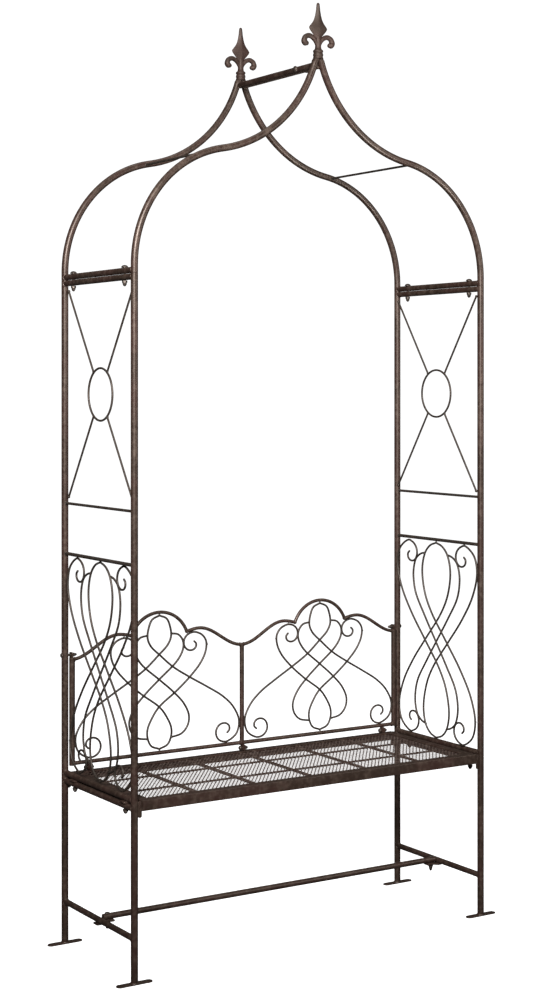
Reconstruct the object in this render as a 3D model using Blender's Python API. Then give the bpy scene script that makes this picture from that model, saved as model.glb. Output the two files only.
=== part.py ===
"""Garden arch with a bench seat: bent steel tube, welded rails and wire scrollwork, bolted together.

Frame: X runs across the arch (left is -X), Y from the front (-Y) to the back, Z up.
The origin is on the ground, midway between the four legs.
"""
import math

import bmesh
import bpy
from mathutils import Vector

# ------------------------------------------------------------------ driving dimensions (metres)
POST_SPACING_X = 1.036      # post centre to post centre, across the arch
POST_SPACING_Y = 0.372      # front post centre to back post centre
SEAT_JOINT_Z = 0.4204       # where the leg frames meet the side panels
ARCH_JOINT_Z = 1.6683       # where the side panels meet the arch
GAP = 0.0003                # clearance left between neighbouring pieces
COPE_GAP = 0.0009           # clearance at an end shaped to a round post

POST_OD = 0.0175            # legs, posts and arch tubes
POST_WALL = 0.0012
RAIL_OD = 0.0150            # rails that join two posts, and the stretcher
RAIL_WALL = 0.0012
WIRE_OD = 0.0055            # scrollwork, ring and cross rods
MID_BAR_OD = 0.0070
WIRE_INSET = 0.0052         # scrollwork, ring and rods sit this far inside the posts' centre plane
SCROLL_BAR_OD = 0.0090
TIE_ROD_OD = 0.0060

FOOT_LENGTH = 0.095         # foot plate, along X
FOOT_WIDTH = 0.020
FOOT_THICKNESS = 0.003

CROSS_RAIL_Z = 0.106        # low rail between a pair of legs
STRETCHER_Z = 0.1100        # long stretcher between the two low rails
STRETCHER_END_GAP = 0.0045  # stretcher end to the low rail's side
STRETCHER_BOLT_INSET = 0.0240   # stretcher bolt, from the low rail's centre line
TAB_THICKNESS = 0.005       # tab under the low rail that carries the stretcher
TAB_WIDTH = 0.020
TAB_REACH = 0.040           # from the low rail's centre line inward
TAB_TAIL = 0.0100           # from the low rail's centre line outward

SCROLL_BAR_Z = 0.982        # bar on top of the side scrollwork
MID_BAR_Z = 1.1085          # bar under the ring and cross
RING_RADIUS = 0.064         # centre line of the ring
CURL_R = 0.0232             # rolled ends of the scroll wires
CURL_TURN = math.radians(308.0)
CURL_HOOK = math.radians(75.0)
OPEN_STEP = 0.055           # longest straight run of a scroll wire
BEND_STEP = math.radians(30.0)   # most a wire's centre line turns between two sections
CROSS_CORNER = 0.013        # how far from the rail a cross rod meets its post

SHOULDER_START = 0.0203     # straight length of arch tube above the joint
SHOULDER_RADIUS = 0.2944    # outward bend of the arch
SHOULDER_SWEEP = math.radians(79.8)
APEX_LEAN = math.radians(15.6)   # tube's lean where it meets its twin
APEX_OFFSET = 0.0056        # tube centre from the middle plane at the top
TIE_ROD_X = 0.290           # rod between the front and back arch tubes
APEX_TRIM = 0.0050          # arch tubes are cut square this far below the end of their centre line
RIDGE_DROP = 0.0145         # ridge rail centre below the cut tops of the arch tubes
RIDGE_SPACING = 0.0158      # between the two ridge rails' centres

BOLT_INSET = 0.049          # arch bolts, from the post's centre line
SEAT_BOLT_INSET = {"front": 0.044, "back": 0.058}
LOOSE_NUT_DROP = 0.0115     # the front right seat bolt's nut is only part of the way up
BOLT_OD = 0.0060
BOLT_HOLE_OD = 0.0068
HEAD_RADIUS = 0.0085
HEAD_HEIGHT = 0.0060
NUT_RADIUS = 0.0066
NUT_HEX = 0.0055
NUT_DOME = 0.0085
LONG_NUT_DOME = 0.0120      # on the stretcher's bolts
SEAT_BOLT_HEAD_R = 0.0044   # heads held inside the panels' bottom rails
RIDGE_BOLT_Y = -0.106

SEAT_TOP_Z = 0.4295         # top of the seat's rim
SEAT_SIDE_GAP = 0.0180      # rim's outer face to the post's centre plane, across
SEAT_FRONT_LIP = 0.0060     # rim's outer face beyond the post's centre plane, front and back
ANGLE_LEG = 0.025
ANGLE_FLANGE = 0.025
ANGLE_T = 0.003
SEAT_CROSS_BARS = 5
CROSS_BAR_W = 0.012
CROSS_BAR_T = 0.004
SEAT_ROD_OD = 0.005
SEAT_ROD_Y = 0.065
MESH_T = 0.0006
EAR_WIDTH = 0.026
EAR_T = 0.004
EAR_TAIL = 0.011            # ear beyond the bolt, outward
LUG_DROP = 0.015            # corner lug's reach below the rim
LUG_T = 0.004

BACKREST_SET_IN = 0.006     # backrest's plane in front of the back posts' centre plane
BACKREST_BOTTOM_Z = 0.4518
BACKREST_VALLEY_Z = 0.7138  # low ends and middle of the scalloped top rail
BACKREST_SHOULDER_Z = 0.7670
BACKREST_CUSP_Z = 0.7606
BACKREST_CROWN_Z = 0.8160
BACKREST_CUSP_X = 0.0815    # from the middle of each half
BACKREST_SHOULDER_X = 0.1190
BACKREST_TOP_OD = 0.0090
BACKREST_BOTTOM_OD = 0.0104
BACKREST_END_OD = 0.0150
BACKREST_MID_OD = 0.0120
BACKREST_END_GAP = 0.00075  # end upright's side to the post's side
BACKREST_LUG_X = 0.0600     # outer foot lugs, from the post's centre plane
BACKREST_LUG_T = 0.004
BACKREST_LUG_W = 0.014
FOOT_BOLT_Z = 0.4374
TOP_BOLT_Z = 0.7250

FINIAL_HEIGHT = 0.1410
FINIAL_SPAN = 0.093         # across the middles of the two curled leaves
FINIAL_BLADE_W = 0.0560
FINIAL_BLADE_T = 0.0160
FINIAL_LEAF_R = 0.0063

POST_SIDES = 16
RAIL_SIDES = 12
WIRE_SIDES = 6

# ------------------------------------------------------------------ sizes that follow
HALF_X = POST_SPACING_X / 2
HALF_Y = POST_SPACING_Y / 2
POST_R = POST_OD / 2
RAIL_R = RAIL_OD / 2
WIRE_R = WIRE_OD / 2
LEG_TOP_RAIL_Z = SEAT_JOINT_Z - EAR_T / 2 - GAP - RAIL_R
PANEL_BOTTOM_Z = SEAT_JOINT_Z + EAR_T / 2 + GAP + RAIL_R
PANEL_TOP_Z = ARCH_JOINT_Z - GAP / 2 - RAIL_R
ARCH_FOOT_Z = ARCH_JOINT_Z + GAP / 2 + RAIL_R
BOLT_Y = HALF_Y - BOLT_INSET
SEAT_X = HALF_X - SEAT_SIDE_GAP
SEAT_Y = HALF_Y + SEAT_FRONT_LIP
BACKREST_Y = HALF_Y - BACKREST_SET_IN
LAYER = WIRE_R + 0.00025    # crossing wires lie this far either side of the scroll's plane
STRETCHER_BOLT_X = HALF_X - STRETCHER_BOLT_INSET
FOOT_LUG_X = HALF_X - BACKREST_LUG_X

SEAT_BOLTS = (("front", -HALF_Y + SEAT_BOLT_INSET["front"]), ("back", HALF_Y - SEAT_BOLT_INSET["back"]))
SIDES = (("left", -1), ("right", 1))
CORNERS = (("front_left", -1, -1), ("front_right", 1, -1), ("back_left", -1, 1), ("back_right", 1, 1))


# ------------------------------------------------------------------ scene and materials
def clear_scene():
    """Remove every object and the data it leaves behind."""
    for item in list(bpy.data.objects):
        bpy.data.objects.remove(item, do_unlink=True)
    for mesh in list(bpy.data.meshes):
        bpy.data.meshes.remove(mesh)


def material(name, colour, roughness, metallic):
    """A Principled material."""
    mat = bpy.data.materials.new(name)
    mat.use_nodes = True
    shader = mat.node_tree.nodes["Principled BSDF"]
    shader.inputs["Base Color"].default_value = (*colour, 1.0)
    shader.inputs["Roughness"].default_value = roughness
    shader.inputs["Metallic"].default_value = metallic
    return mat


def finish(name, bm, mat, angle=40.0):
    """Turn a bmesh into a named object with outward normals and smooth round faces."""
    bmesh.ops.recalc_face_normals(bm, faces=bm.faces)
    mesh = bpy.data.meshes.new(name)
    bm.to_mesh(mesh)
    bm.free()
    mesh.materials.append(mat)
    mesh.shade_smooth()
    mesh.set_sharp_from_angle(angle=math.radians(angle))
    obj = bpy.data.objects.new(name, mesh)
    bpy.context.scene.collection.objects.link(obj)
    return obj


def combine(target, tool, operation, overlapping=False):
    """Apply one exact Boolean to target and drop the tool."""
    step = target.modifiers.new("step", "BOOLEAN")
    step.object = tool
    step.operation = operation
    step.solver = "EXACT"
    step.use_self = overlapping
    graph = bpy.context.evaluated_depsgraph_get()
    result = bpy.data.meshes.new_from_object(target.evaluated_get(graph))
    target.modifiers.remove(step)
    old = target.data
    target.data = result
    result.name = target.name
    bpy.data.meshes.remove(old)
    tool_mesh = tool.data
    bpy.data.objects.remove(tool, do_unlink=True)
    bpy.data.meshes.remove(tool_mesh)
    target.data.shade_smooth()
    target.data.set_sharp_from_angle(angle=math.radians(40.0))
    return target


def solid(build, *args, **kwargs):
    """A temporary object from one builder, used as a Boolean tool."""
    bm = bmesh.new()
    build(bm, *args, **kwargs)
    return finish("tool", bm, STEEL)


def fuse(target, *tools):
    """Weld tools into target."""
    for tool in tools:
        combine(target, tool, "UNION")
    return target


def cut(target, *tools):
    """Cut tools out of target."""
    for tool in tools:
        combine(target, tool, "DIFFERENCE")
    return target


# ------------------------------------------------------------------ shape builders
def cross_axes(axis):
    """Two unit vectors square to an axis and to each other."""
    axis = axis.normalized()
    helper = Vector((0, 0, 1)) if abs(axis.z) < 0.9 else Vector((1, 0, 0))
    u = axis.cross(helper).normalized()
    return u, axis.cross(u).normalized()


def across(radius, sides):
    """Corner radius of a polygon whose flats lie on the radius."""
    return radius / math.cos(math.pi / sides)


def add_tube(bm, start, end, radius, bore=0.0, sides=RAIL_SIDES, start_cope=None, end_cope=None):
    """A straight tube or rod whose flats lie on its radius.

    A cope is (radius, axis) of the round piece that an end is shaped to; that end is then given
    on the other piece's centre line.
    """
    start = Vector(start)
    radius = across(radius, sides)
    bore = across(bore, sides)
    end = Vector(end)
    axis = (end - start).normalized()
    u, v = cross_axes(axis)

    def ring(centre, inward, r, cope):
        points = []
        for k in range(sides):
            a = 2 * math.pi * (k + 0.5) / sides
            offset = u * (r * math.cos(a)) + v * (r * math.sin(a))
            reach = 0.0
            if cope:
                aside = offset.dot(axis.cross(Vector(cope[1])).normalized())
                reach = math.sqrt(cope[0] ** 2 - aside ** 2)
            points.append(bm.verts.new(centre + offset + inward * reach))
        return points

    def cap(ring_points, centre, inward, cope):
        middle = bm.verts.new(centre + inward * (cope[0] if cope else 0.0))
        for k in range(sides):
            bm.faces.new((ring_points[k], ring_points[(k + 1) % sides], middle))

    outer0 = ring(start, axis, radius, start_cope)
    outer1 = ring(end, -axis, radius, end_cope)
    bridge(bm, outer0, outer1)
    if bore:
        inner0 = ring(start, axis, bore, start_cope)
        inner1 = ring(end, -axis, bore, end_cope)
        bridge(bm, inner0, inner1)
        bridge(bm, outer0, inner0)
        bridge(bm, outer1, inner1)
    else:
        cap(outer0, start, axis, start_cope)
        cap(outer1, end, -axis, end_cope)


def bridge(bm, first, second):
    """Faces between two rings with the same number of points."""
    count = len(first)
    for k in range(count):
        n = (k + 1) % count
        bm.faces.new((first[k], first[n], second[n], second[k]))


def add_sweep(bm, points, radii, normal, sides=WIRE_SIDES, bore=0.0, closed=False):
    """A round section carried along points that lie near a plane with the given normal."""
    normal = Vector(normal)
    count = len(points)
    if not hasattr(radii, "__len__"):
        radii = [radii] * count
    outer = []
    inner = []
    for i, point in enumerate(points):
        before = points[i - 1] if (i > 0 or closed) else point
        after = points[(i + 1) % count] if (i < count - 1 or closed) else point
        t = (after - before).normalized()
        if i > 0 and i < count - 1 or closed:
            a = (point - before).normalized()
            b = (after - point).normalized()
            t = (a + b).normalized()
            stretch = 1.0 / max(math.sqrt(max((1 + a.dot(b)) / 2, 0.0)), 0.5)
        else:
            stretch = 1.0
        side = normal.cross(t).normalized()
        up = t.cross(side).normalized()

        def ring(r):
            made = []
            for k in range(sides):
                angle = 2 * math.pi * (k + 0.5) / sides
                offset = side * (r * stretch * math.cos(angle)) + up * (r * math.sin(angle))
                made.append(bm.verts.new(point + offset))
            return made

        outer.append(ring(radii[i]))
        if bore:
            inner.append(ring(bore))
    last = count if closed else count - 1
    for i in range(last):
        bridge(bm, outer[i], outer[(i + 1) % count])
        if bore:
            bridge(bm, inner[i], inner[(i + 1) % count])
    if not closed:
        if bore:
            bridge(bm, outer[0], inner[0])
            bridge(bm, outer[-1], inner[-1])
        else:
            bm.faces.new(outer[0])
            bm.faces.new(outer[-1])


def add_box(bm, low, high):
    """A box between two corners."""
    corners = [bm.verts.new((x, y, z)) for x in (low[0], high[0]) for y in (low[1], high[1])
               for z in (low[2], high[2])]
    for face in ((0, 1, 3, 2), (4, 6, 7, 5), (0, 4, 5, 1), (2, 3, 7, 6), (0, 2, 6, 4), (1, 5, 7, 3)):
        bm.faces.new([corners[k] for k in face])


def add_prism(bm, outline, low, high, axis):
    """An outline of two-number points, extruded between low and high along x, y or z."""
    def place(point, level):
        a, b = point
        return {"x": (level, a, b), "y": (a, level, b), "z": (a, b, level)}[axis]

    first = [bm.verts.new(place(p, low)) for p in outline]
    second = [bm.verts.new(place(p, high)) for p in outline]
    bm.faces.new(first)
    bm.faces.new(second)
    bridge(bm, first, second)


def add_lathe(bm, origin, axis, profile, sides=12):
    """A turned shape from (distance along the axis, radius) steps. A third value 6 makes a hexagon."""
    origin = Vector(origin)
    axis = Vector(axis).normalized()
    u, v = cross_axes(axis)
    rings = []
    for step in profile:
        height, radius = step[0], step[1]
        hexagon = len(step) > 2
        if radius == 0.0:
            rings.append(bm.verts.new(origin + axis * height))
            continue
        made = []
        for k in range(sides):
            angle = 2 * math.pi * k / sides
            r = radius
            if hexagon and k % 2:
                r = radius * math.cos(math.pi / 6)
            offset = u * (r * math.cos(angle)) + v * (r * math.sin(angle))
            made.append(bm.verts.new(origin + axis * height + offset))
        rings.append(made)
    for a, b in zip(rings, rings[1:]):
        if isinstance(a, list) and isinstance(b, list):
            bridge(bm, a, b)
        else:
            tip, base = (a, b) if isinstance(b, list) else (b, a)
            for k in range(sides):
                bm.faces.new((base[k], base[(k + 1) % sides], tip))
    for end in (rings[0], rings[-1]):
        if isinstance(end, list):
            bm.faces.new(end)


def smooth_path(keys, per_span):
    """A smooth curve through key points, with per_span steps between neighbours."""
    points = []
    for i in range(len(keys) - 1):
        p0 = keys[i - 1] if i > 0 else keys[0] * 2 - keys[1]
        p1, p2 = keys[i], keys[i + 1]
        p3 = keys[i + 2] if i + 2 < len(keys) else keys[-1] * 2 - keys[-2]
        k1 = max((p1 - p0).length, 1e-6) ** 0.5
        k2 = max((p2 - p1).length, 1e-6) ** 0.5
        k3 = max((p3 - p2).length, 1e-6) ** 0.5
        m1 = (p1 - p0) / k1 - (p2 - p0) / (k1 + k2) + (p2 - p1) / k2
        m2 = (p2 - p1) / k2 - (p3 - p1) / (k2 + k3) + (p3 - p2) / k3
        for j in range(per_span):
            t = j / per_span
            h1 = 2 * t ** 3 - 3 * t ** 2 + 1
            h2 = t ** 3 - 2 * t ** 2 + t
            h3 = -2 * t ** 3 + 3 * t ** 2
            h4 = t ** 3 - t ** 2
            points.append(p1 * h1 + m1 * (h2 * k2) + p2 * h3 + m2 * (h4 * k2))
    points.append(keys[-1].copy())
    return points


def resample(points, spacing_tight, spacing_open):
    """Thin a dense curve: short steps where it turns sharply, long steps where it runs straight."""
    kept = [points[0]]
    turned = 0.0
    run = 0.0
    for i in range(1, len(points) - 1):
        a = (points[i] - points[i - 1])
        b = (points[i + 1] - points[i])
        run += a.length
        turned += a.angle(b, 0.0)
        if turned > spacing_tight or run > spacing_open:
            kept.append(points[i])
            turned = 0.0
            run = 0.0
    kept.append(points[-1])
    return kept


def curl(start, centre, inner_radius, direction, steps):
    """The rolled end of a scroll: it leaves start, settles on inner_radius and hooks in at its tip.

    It turns CURL_TURN in all, the last CURL_HOOK of it drawn in towards the middle.
    """
    offset = start - centre
    start_angle = math.atan2(offset.y, offset.x)
    extra = offset.length / inner_radius - 1.0
    points = []
    for i in range(1, steps + 1):
        turned = CURL_TURN * i / steps
        r = inner_radius * (1.0 + extra * math.exp(-turned / math.radians(40.0)))
        hook = max(0.0, 1.0 - (CURL_TURN - turned) / CURL_HOOK)
        r *= 1.0 - 0.5 * hook ** 2
        a = start_angle + direction * turned
        points.append(Vector((centre.x + r * math.cos(a), centre.y + r * math.sin(a), 0.0)))
    return points


def bolt_profile(grip, head_height=HEAD_HEIGHT, head_radius=HEAD_RADIUS, dome=NUT_DOME):
    """A domed bolt and its cap nut as one turned profile; grip is the thickness it clamps."""
    shank = BOLT_OD / 2
    under = -grip - 2 * GAP
    return [(head_height, 0.0), (head_height * 0.72, head_radius * 0.62), (0.0, head_radius),
            (0.0, shank), (under, shank), (under, NUT_RADIUS, 6), (under - NUT_HEX, NUT_RADIUS, 6),
            (under - NUT_HEX - dome * 0.66, NUT_RADIUS * 0.62), (under - NUT_HEX - dome, 0.0)]


def bolt(name, top, direction, grip, **kwargs):
    """One tightened bolt and cap nut; top is where the head meets the first piece."""
    bm = bmesh.new()
    axis = -Vector(direction)
    add_lathe(bm, Vector(top) + axis * GAP, axis, bolt_profile(grip, **kwargs))
    return finish(name, bm, DARK_BRONZE)


def drill(target, centre, axis, length, radius=BOLT_HOLE_OD / 2):
    """A round hole through target, along axis and centred on centre."""
    half = Vector(axis).normalized() * (length / 2)
    return cut(target, solid(add_tube, Vector(centre) - half, Vector(centre) + half, radius, sides=8))


# ------------------------------------------------------------------ leg frames
def make_leg(corner, sx, sy):
    """A leg tube standing on its flat foot plate."""
    x, y = sx * HALF_X, sy * HALF_Y
    outline = []
    half = FOOT_LENGTH / 2
    for k in range(16):
        a = 2 * math.pi * (k + 0.5) / 16
        centre = math.copysign(half - FOOT_WIDTH / 2, math.cos(a))
        outline.append((x + centre + FOOT_WIDTH / 2 * math.cos(a), y + FOOT_WIDTH / 2 * math.sin(a)))
    bm = bmesh.new()
    add_prism(bm, outline, 0.0, FOOT_THICKNESS, "z")
    leg = finish("leg_" + corner, bm, DARK_BRONZE)
    tube = solid(add_tube, (x, y, FOOT_THICKNESS / 2), (x, y, SEAT_JOINT_Z - GAP / 2), POST_R,
                 bore=POST_R - POST_WALL, sides=POST_SIDES)
    return fuse(leg, tube)


def post_to_post(name, x, z, radius, bore=0.0, sides=RAIL_SIDES, mat=None):
    """A straight rail or bar from the front post to the back post, shaped to both."""
    bm = bmesh.new()
    cope = (POST_R + COPE_GAP, (0, 0, 1))
    add_tube(bm, (x, -HALF_Y, z), (x, HALF_Y, z), radius, bore=bore, sides=sides,
             start_cope=cope, end_cope=cope)
    return finish(name, bm, mat or DARK_BRONZE)


def make_cross_rail(side, sx):
    """Low rail of a leg frame with the cranked tab that carries the stretcher."""
    rail = post_to_post("leg_cross_rail_" + side, sx * HALF_X, CROSS_RAIL_Z, RAIL_R, bore=RAIL_R - RAIL_WALL)
    low = CROSS_RAIL_Z - RAIL_R + 0.0006
    high = STRETCHER_Z - RAIL_R - GAP
    bend = HALF_X - RAIL_R - 0.003
    outline = [(HALF_X + TAB_TAIL, low), (bend, low), (bend - 0.005, high), (HALF_X - TAB_REACH, high),
               (HALF_X - TAB_REACH, high - TAB_THICKNESS), (bend - 0.006, high - TAB_THICKNESS),
               (bend - 0.001, low - TAB_THICKNESS), (HALF_X + TAB_TAIL, low - TAB_THICKNESS)]
    outline = [(sx * x, z) for x, z in outline]
    fuse(rail, solid(add_prism, outline, -TAB_WIDTH / 2, TAB_WIDTH / 2, "y"))
    return drill(rail, (sx * STRETCHER_BOLT_X, 0, high - TAB_THICKNESS / 2), (0, 0, 1), 0.012)


def make_leg_frames():
    for corner, sx, sy in CORNERS:
        make_leg(corner, sx, sy)
    for side, sx in SIDES:
        x = sx * HALF_X
        make_cross_rail(side, sx)
        top = post_to_post("leg_top_rail_" + side, x, LEG_TOP_RAIL_Z, RAIL_R, bore=RAIL_R - RAIL_WALL)
        for _, y in SEAT_BOLTS:
            drill(top, (x, y, LEG_TOP_RAIL_Z), (0, 0, 1), RAIL_OD * 2)
    bm = bmesh.new()
    end = HALF_X - RAIL_R - STRETCHER_END_GAP
    add_tube(bm, (-end, 0, STRETCHER_Z), (end, 0, STRETCHER_Z), RAIL_R, bore=RAIL_R - RAIL_WALL)
    stretcher = finish("stretcher", bm, DARK_BRONZE)
    for side, sx in SIDES:
        drill(stretcher, (sx * STRETCHER_BOLT_X, 0, STRETCHER_Z), (0, 0, 1), RAIL_OD * 2)
        grip = RAIL_OD + GAP + TAB_THICKNESS
        bolt("stretcher_bolt_" + side, (sx * STRETCHER_BOLT_X, 0, STRETCHER_Z + RAIL_R), (0, 0, -1), grip,
             head_height=0.003, head_radius=0.0065, dome=LONG_NUT_DOME)


# ------------------------------------------------------------------ side panels
def scroll_wires(long_top, long_bottom, second, place, curls, mirror_second=True):
    """Four crossing wires: two long ones that loop and curl, two short ones between the loops.

    The key points run from a loop, across the middle, to the opposite corner. Strands that fall
    to the right lie in one layer and strands that fall to the left lie in the other.
    """
    wires = []
    for keys, (corner, radius, direction) in zip((long_top, long_bottom), curls):
        keys = [Vector((p, q, 0.0)) for p, q in keys]
        arm = smooth_path(keys + curl(keys[-1], Vector((*corner, 0.0)), radius, direction, 12), 4)
        rise = (keys[4] - keys[0]).length
        half = []
        for point in arm:
            climb = min((point - keys[0]).length / rise, 1.0)
            half.append((point, LAYER * climb * climb * (3 - 2 * climb)))
        other = [(Vector((-p.x, p.y, 0.0)), -offset) for p, offset in half]
        whole = list(reversed(half))[:-1] + other
        points = [place(p.x, p.y, offset) for p, offset in whole]
        wires.append(resample(points, BEND_STEP, OPEN_STEP))
    keys = [Vector((p, q, 0.0)) for p, q in second]
    path = smooth_path(keys, 4)
    wires.append(resample([place(p.x, p.y, LAYER) for p in path], BEND_STEP, OPEN_STEP))
    wires.append(resample([place(-p.x, p.y, -LAYER) for p in path], BEND_STEP, OPEN_STEP))
    return wires


def make_scroll(name, wires, normal):
    """Weld crossing wires into one scroll."""
    bm = bmesh.new()
    add_sweep(bm, wires[0], WIRE_R, normal)
    scroll = finish(name, bm, BLACK_BRONZE)
    for wire in (wires[2], wires[3], wires[1]):
        fuse(scroll, solid(add_sweep, wire, WIRE_R, normal))
    return scroll


def side_scroll(side, sx):
    """The tall scroll between the seat and the scroll bar."""
    wide = HALF_Y - POST_R - 2 * GAP - WIRE_R
    top = SCROLL_BAR_Z - SCROLL_BAR_OD / 2 - 2 * GAP - WIRE_R
    bottom = PANEL_BOTTOM_Z + RAIL_R + 2 * GAP + WIRE_R
    middle = (top + bottom) / 2
    tall = (top - bottom) / 2
    arm = [(0.0, 1.0), (-0.155, 0.966), (-0.278, 0.885), (-0.344, 0.72), (-0.273, 0.478), (-0.1, 0.281),
           (0.273, 0.009), (0.631, -0.253), (0.892, -0.506), (0.998, -0.738), (0.93, -0.905),
           (0.703, -1.0)]
    second = [(-0.285, 0.885), (-0.385, 0.868), (-0.5, 0.815), (-0.562, 0.715), (-0.567, 0.6),
              (-0.507, 0.455), (-0.273, 0.234), (0.0, 0.0)]
    second = second + [(-p, -q) for p, q in reversed(second[:-1])]
    arm = [(p * wide, q * tall) for p, q in arm]
    second = [(p * wide, q * tall) for p, q in second]
    corner = (arm[-1][0] - 0.0155, arm[-1][1] + 0.034)
    upper = [(p, q) for p, q in arm]
    lower = [(-p, -q) for p, q in arm]
    curls = ((corner, CURL_R, -1), ((-corner[0], -corner[1]), CURL_R, -1))
    x = sx * (HALF_X - WIRE_INSET)

    def place(p, q, offset):
        return Vector((x + offset, p, middle + q))

    return make_scroll("side_scroll_" + side, scroll_wires(upper, lower, second, place, curls), (1, 0, 0))


def ring_and_cross(side, sx):
    """A wire ring held in the middle of the upper panel by four rods."""
    x = sx * (HALF_X - WIRE_INSET)
    low = MID_BAR_Z + MID_BAR_OD / 2
    high = PANEL_TOP_Z - RAIL_R
    middle = (low + high) / 2
    count = 22
    circle = [Vector((x, RING_RADIUS * math.cos(2 * math.pi * k / count),
                      middle + RING_RADIUS * math.sin(2 * math.pi * k / count))) for k in range(count)]
    bm = bmesh.new()
    add_sweep(bm, circle, WIRE_R, (1, 0, 0), closed=True)
    ring = finish("ring_and_cross_" + side, bm, BLACK_BRONZE)
    reach_z = high - CROSS_CORNER - middle
    reach_y = HALF_Y - POST_R - COPE_GAP - WIRE_R
    length = math.hypot(reach_y, reach_z)
    for sy in (-1, 1):
        for sz in (-1, 1):
            direction = Vector((0, sy * reach_y / length, sz * reach_z / length))
            root = Vector((x, 0, middle)) + direction * RING_RADIUS
            tip = Vector((x, 0, middle)) + direction * length
            fuse(ring, solid(add_tube, root, tip, WIRE_R * 0.96, sides=WIRE_SIDES))
    return ring


def make_side_panels():
    for corner, sx, sy in CORNERS:
        bm = bmesh.new()
        x, y = sx * HALF_X, sy * HALF_Y
        add_tube(bm, (x, y, SEAT_JOINT_Z + GAP / 2), (x, y, ARCH_JOINT_Z - GAP / 2), POST_R,
                 bore=POST_R - POST_WALL, sides=POST_SIDES)
        post = finish("post_" + corner, bm, DARK_BRONZE)
        if sy > 0:
            drill(post, (x, y, TOP_BOLT_Z), (1, 0, 0), POST_OD * 2)
    for side, sx in SIDES:
        x = sx * HALF_X
        bottom = post_to_post("panel_bottom_rail_" + side, x, PANEL_BOTTOM_Z, RAIL_R, bore=RAIL_R - RAIL_WALL)
        top = post_to_post("panel_top_rail_" + side, x, PANEL_TOP_Z, RAIL_R, bore=RAIL_R - RAIL_WALL)
        for _, y in SEAT_BOLTS:
            drill(bottom, (x, y, PANEL_BOTTOM_Z - RAIL_R), (0, 0, 1), RAIL_OD * 0.8)
        for y in (-BOLT_Y, BOLT_Y):
            drill(top, (x, y, PANEL_TOP_Z), (0, 0, 1), RAIL_OD * 2)
        post_to_post("panel_mid_bar_" + side, x, MID_BAR_Z, MID_BAR_OD / 2, sides=8, mat=BLACK_BRONZE)
        post_to_post("panel_scroll_bar_" + side, x, SCROLL_BAR_Z, SCROLL_BAR_OD / 2, sides=8, mat=BLACK_BRONZE)
        ring_and_cross(side, sx)
        side_scroll(side, sx)


# ------------------------------------------------------------------ arch
def arch_curve():
    """Centre line of the right half of the arch, from the joint to the apex, as (x, z)."""
    points = [(HALF_X, ARCH_JOINT_Z + GAP / 2)]
    start_z = ARCH_JOINT_Z + SHOULDER_START
    shoulder_x = HALF_X - SHOULDER_RADIUS
    for k in range(9):
        a = SHOULDER_SWEEP * k / 8
        points.append((shoulder_x + SHOULDER_RADIUS * math.cos(a), start_z + SHOULDER_RADIUS * math.sin(a)))
    turn_x, turn_z = points[-1]
    crown = (turn_x - APEX_OFFSET) / (math.cos(APEX_LEAN) - math.cos(SHOULDER_SWEEP))
    for k in range(1, 7):
        a = SHOULDER_SWEEP + (APEX_LEAN - SHOULDER_SWEEP) * k / 6
        points.append((turn_x + crown * (math.cos(SHOULDER_SWEEP) - math.cos(a)),
                       turn_z + crown * (math.sin(SHOULDER_SWEEP) - math.sin(a))))
    return points


def arch_tube(corner, sx, sy):
    """One bent half of a front or back arch, cut square on top and against its twin."""
    curve = arch_curve()
    top_x, top_z = curve[-1]
    top_z -= APEX_TRIM
    curve[-1] = (top_x - 0.005 * math.sin(APEX_LEAN), curve[-1][1] + 0.005 * math.cos(APEX_LEAN))
    points = [Vector((sx * x, sy * HALF_Y, z)) for x, z in curve]
    bm = bmesh.new()
    add_sweep(bm, points, across(POST_R, RAIL_SIDES), (0, 1, 0), sides=RAIL_SIDES,
              bore=across(POST_R - POST_WALL, RAIL_SIDES))
    tube = finish("arch_tube_" + corner, bm, DARK_BRONZE)
    y = sy * HALF_Y
    past_middle = sorted((sx * GAP, -sx * 0.05))
    cut(tube, solid(add_box, (past_middle[0], y - 0.02, top_z - 0.1), (past_middle[1], y + 0.02, top_z + 0.04)))
    return cut(tube, solid(add_box, (-0.06, y - 0.02, top_z), (0.06, y + 0.02, top_z + 0.05)))


def blade(bm, base):
    """The spearhead: a four-sided blade with a ridge down each face."""
    levels = ((0.343, 0.16, 0.43), (0.403, 0.34, 0.64), (0.497, 0.78, 0.93), (0.547, 1.0, 1.0),
              (0.584, 0.85, 0.97), (0.642, 0.60, 0.86), (0.701, 0.43, 0.74), (0.778, 0.29, 0.64),
              (0.865, 0.21, 0.57), (0.965, 0.17, 0.50))
    rings = []
    for height, wide, thick in levels:
        z = base.z + FINIAL_HEIGHT * height
        w = FINIAL_BLADE_W / 2 * wide
        t = FINIAL_BLADE_T / 2 * thick
        rings.append([bm.verts.new((base.x + px, base.y + py, z)) for px, py in
                      ((w, 0.0), (w * 0.35, t * 0.8), (0.0, t), (-w * 0.35, t * 0.8),
                       (-w, 0.0), (-w * 0.35, -t * 0.8), (0.0, -t), (w * 0.35, -t * 0.8))])
    for a, b in zip(rings, rings[1:]):
        bridge(bm, a, b)
    bm.faces.new(rings[0])
    tip = bm.verts.new((base.x, base.y, base.z + FINIAL_HEIGHT))
    for k in range(8):
        bm.faces.new((rings[-1][k], rings[-1][(k + 1) % 8], tip))


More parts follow.
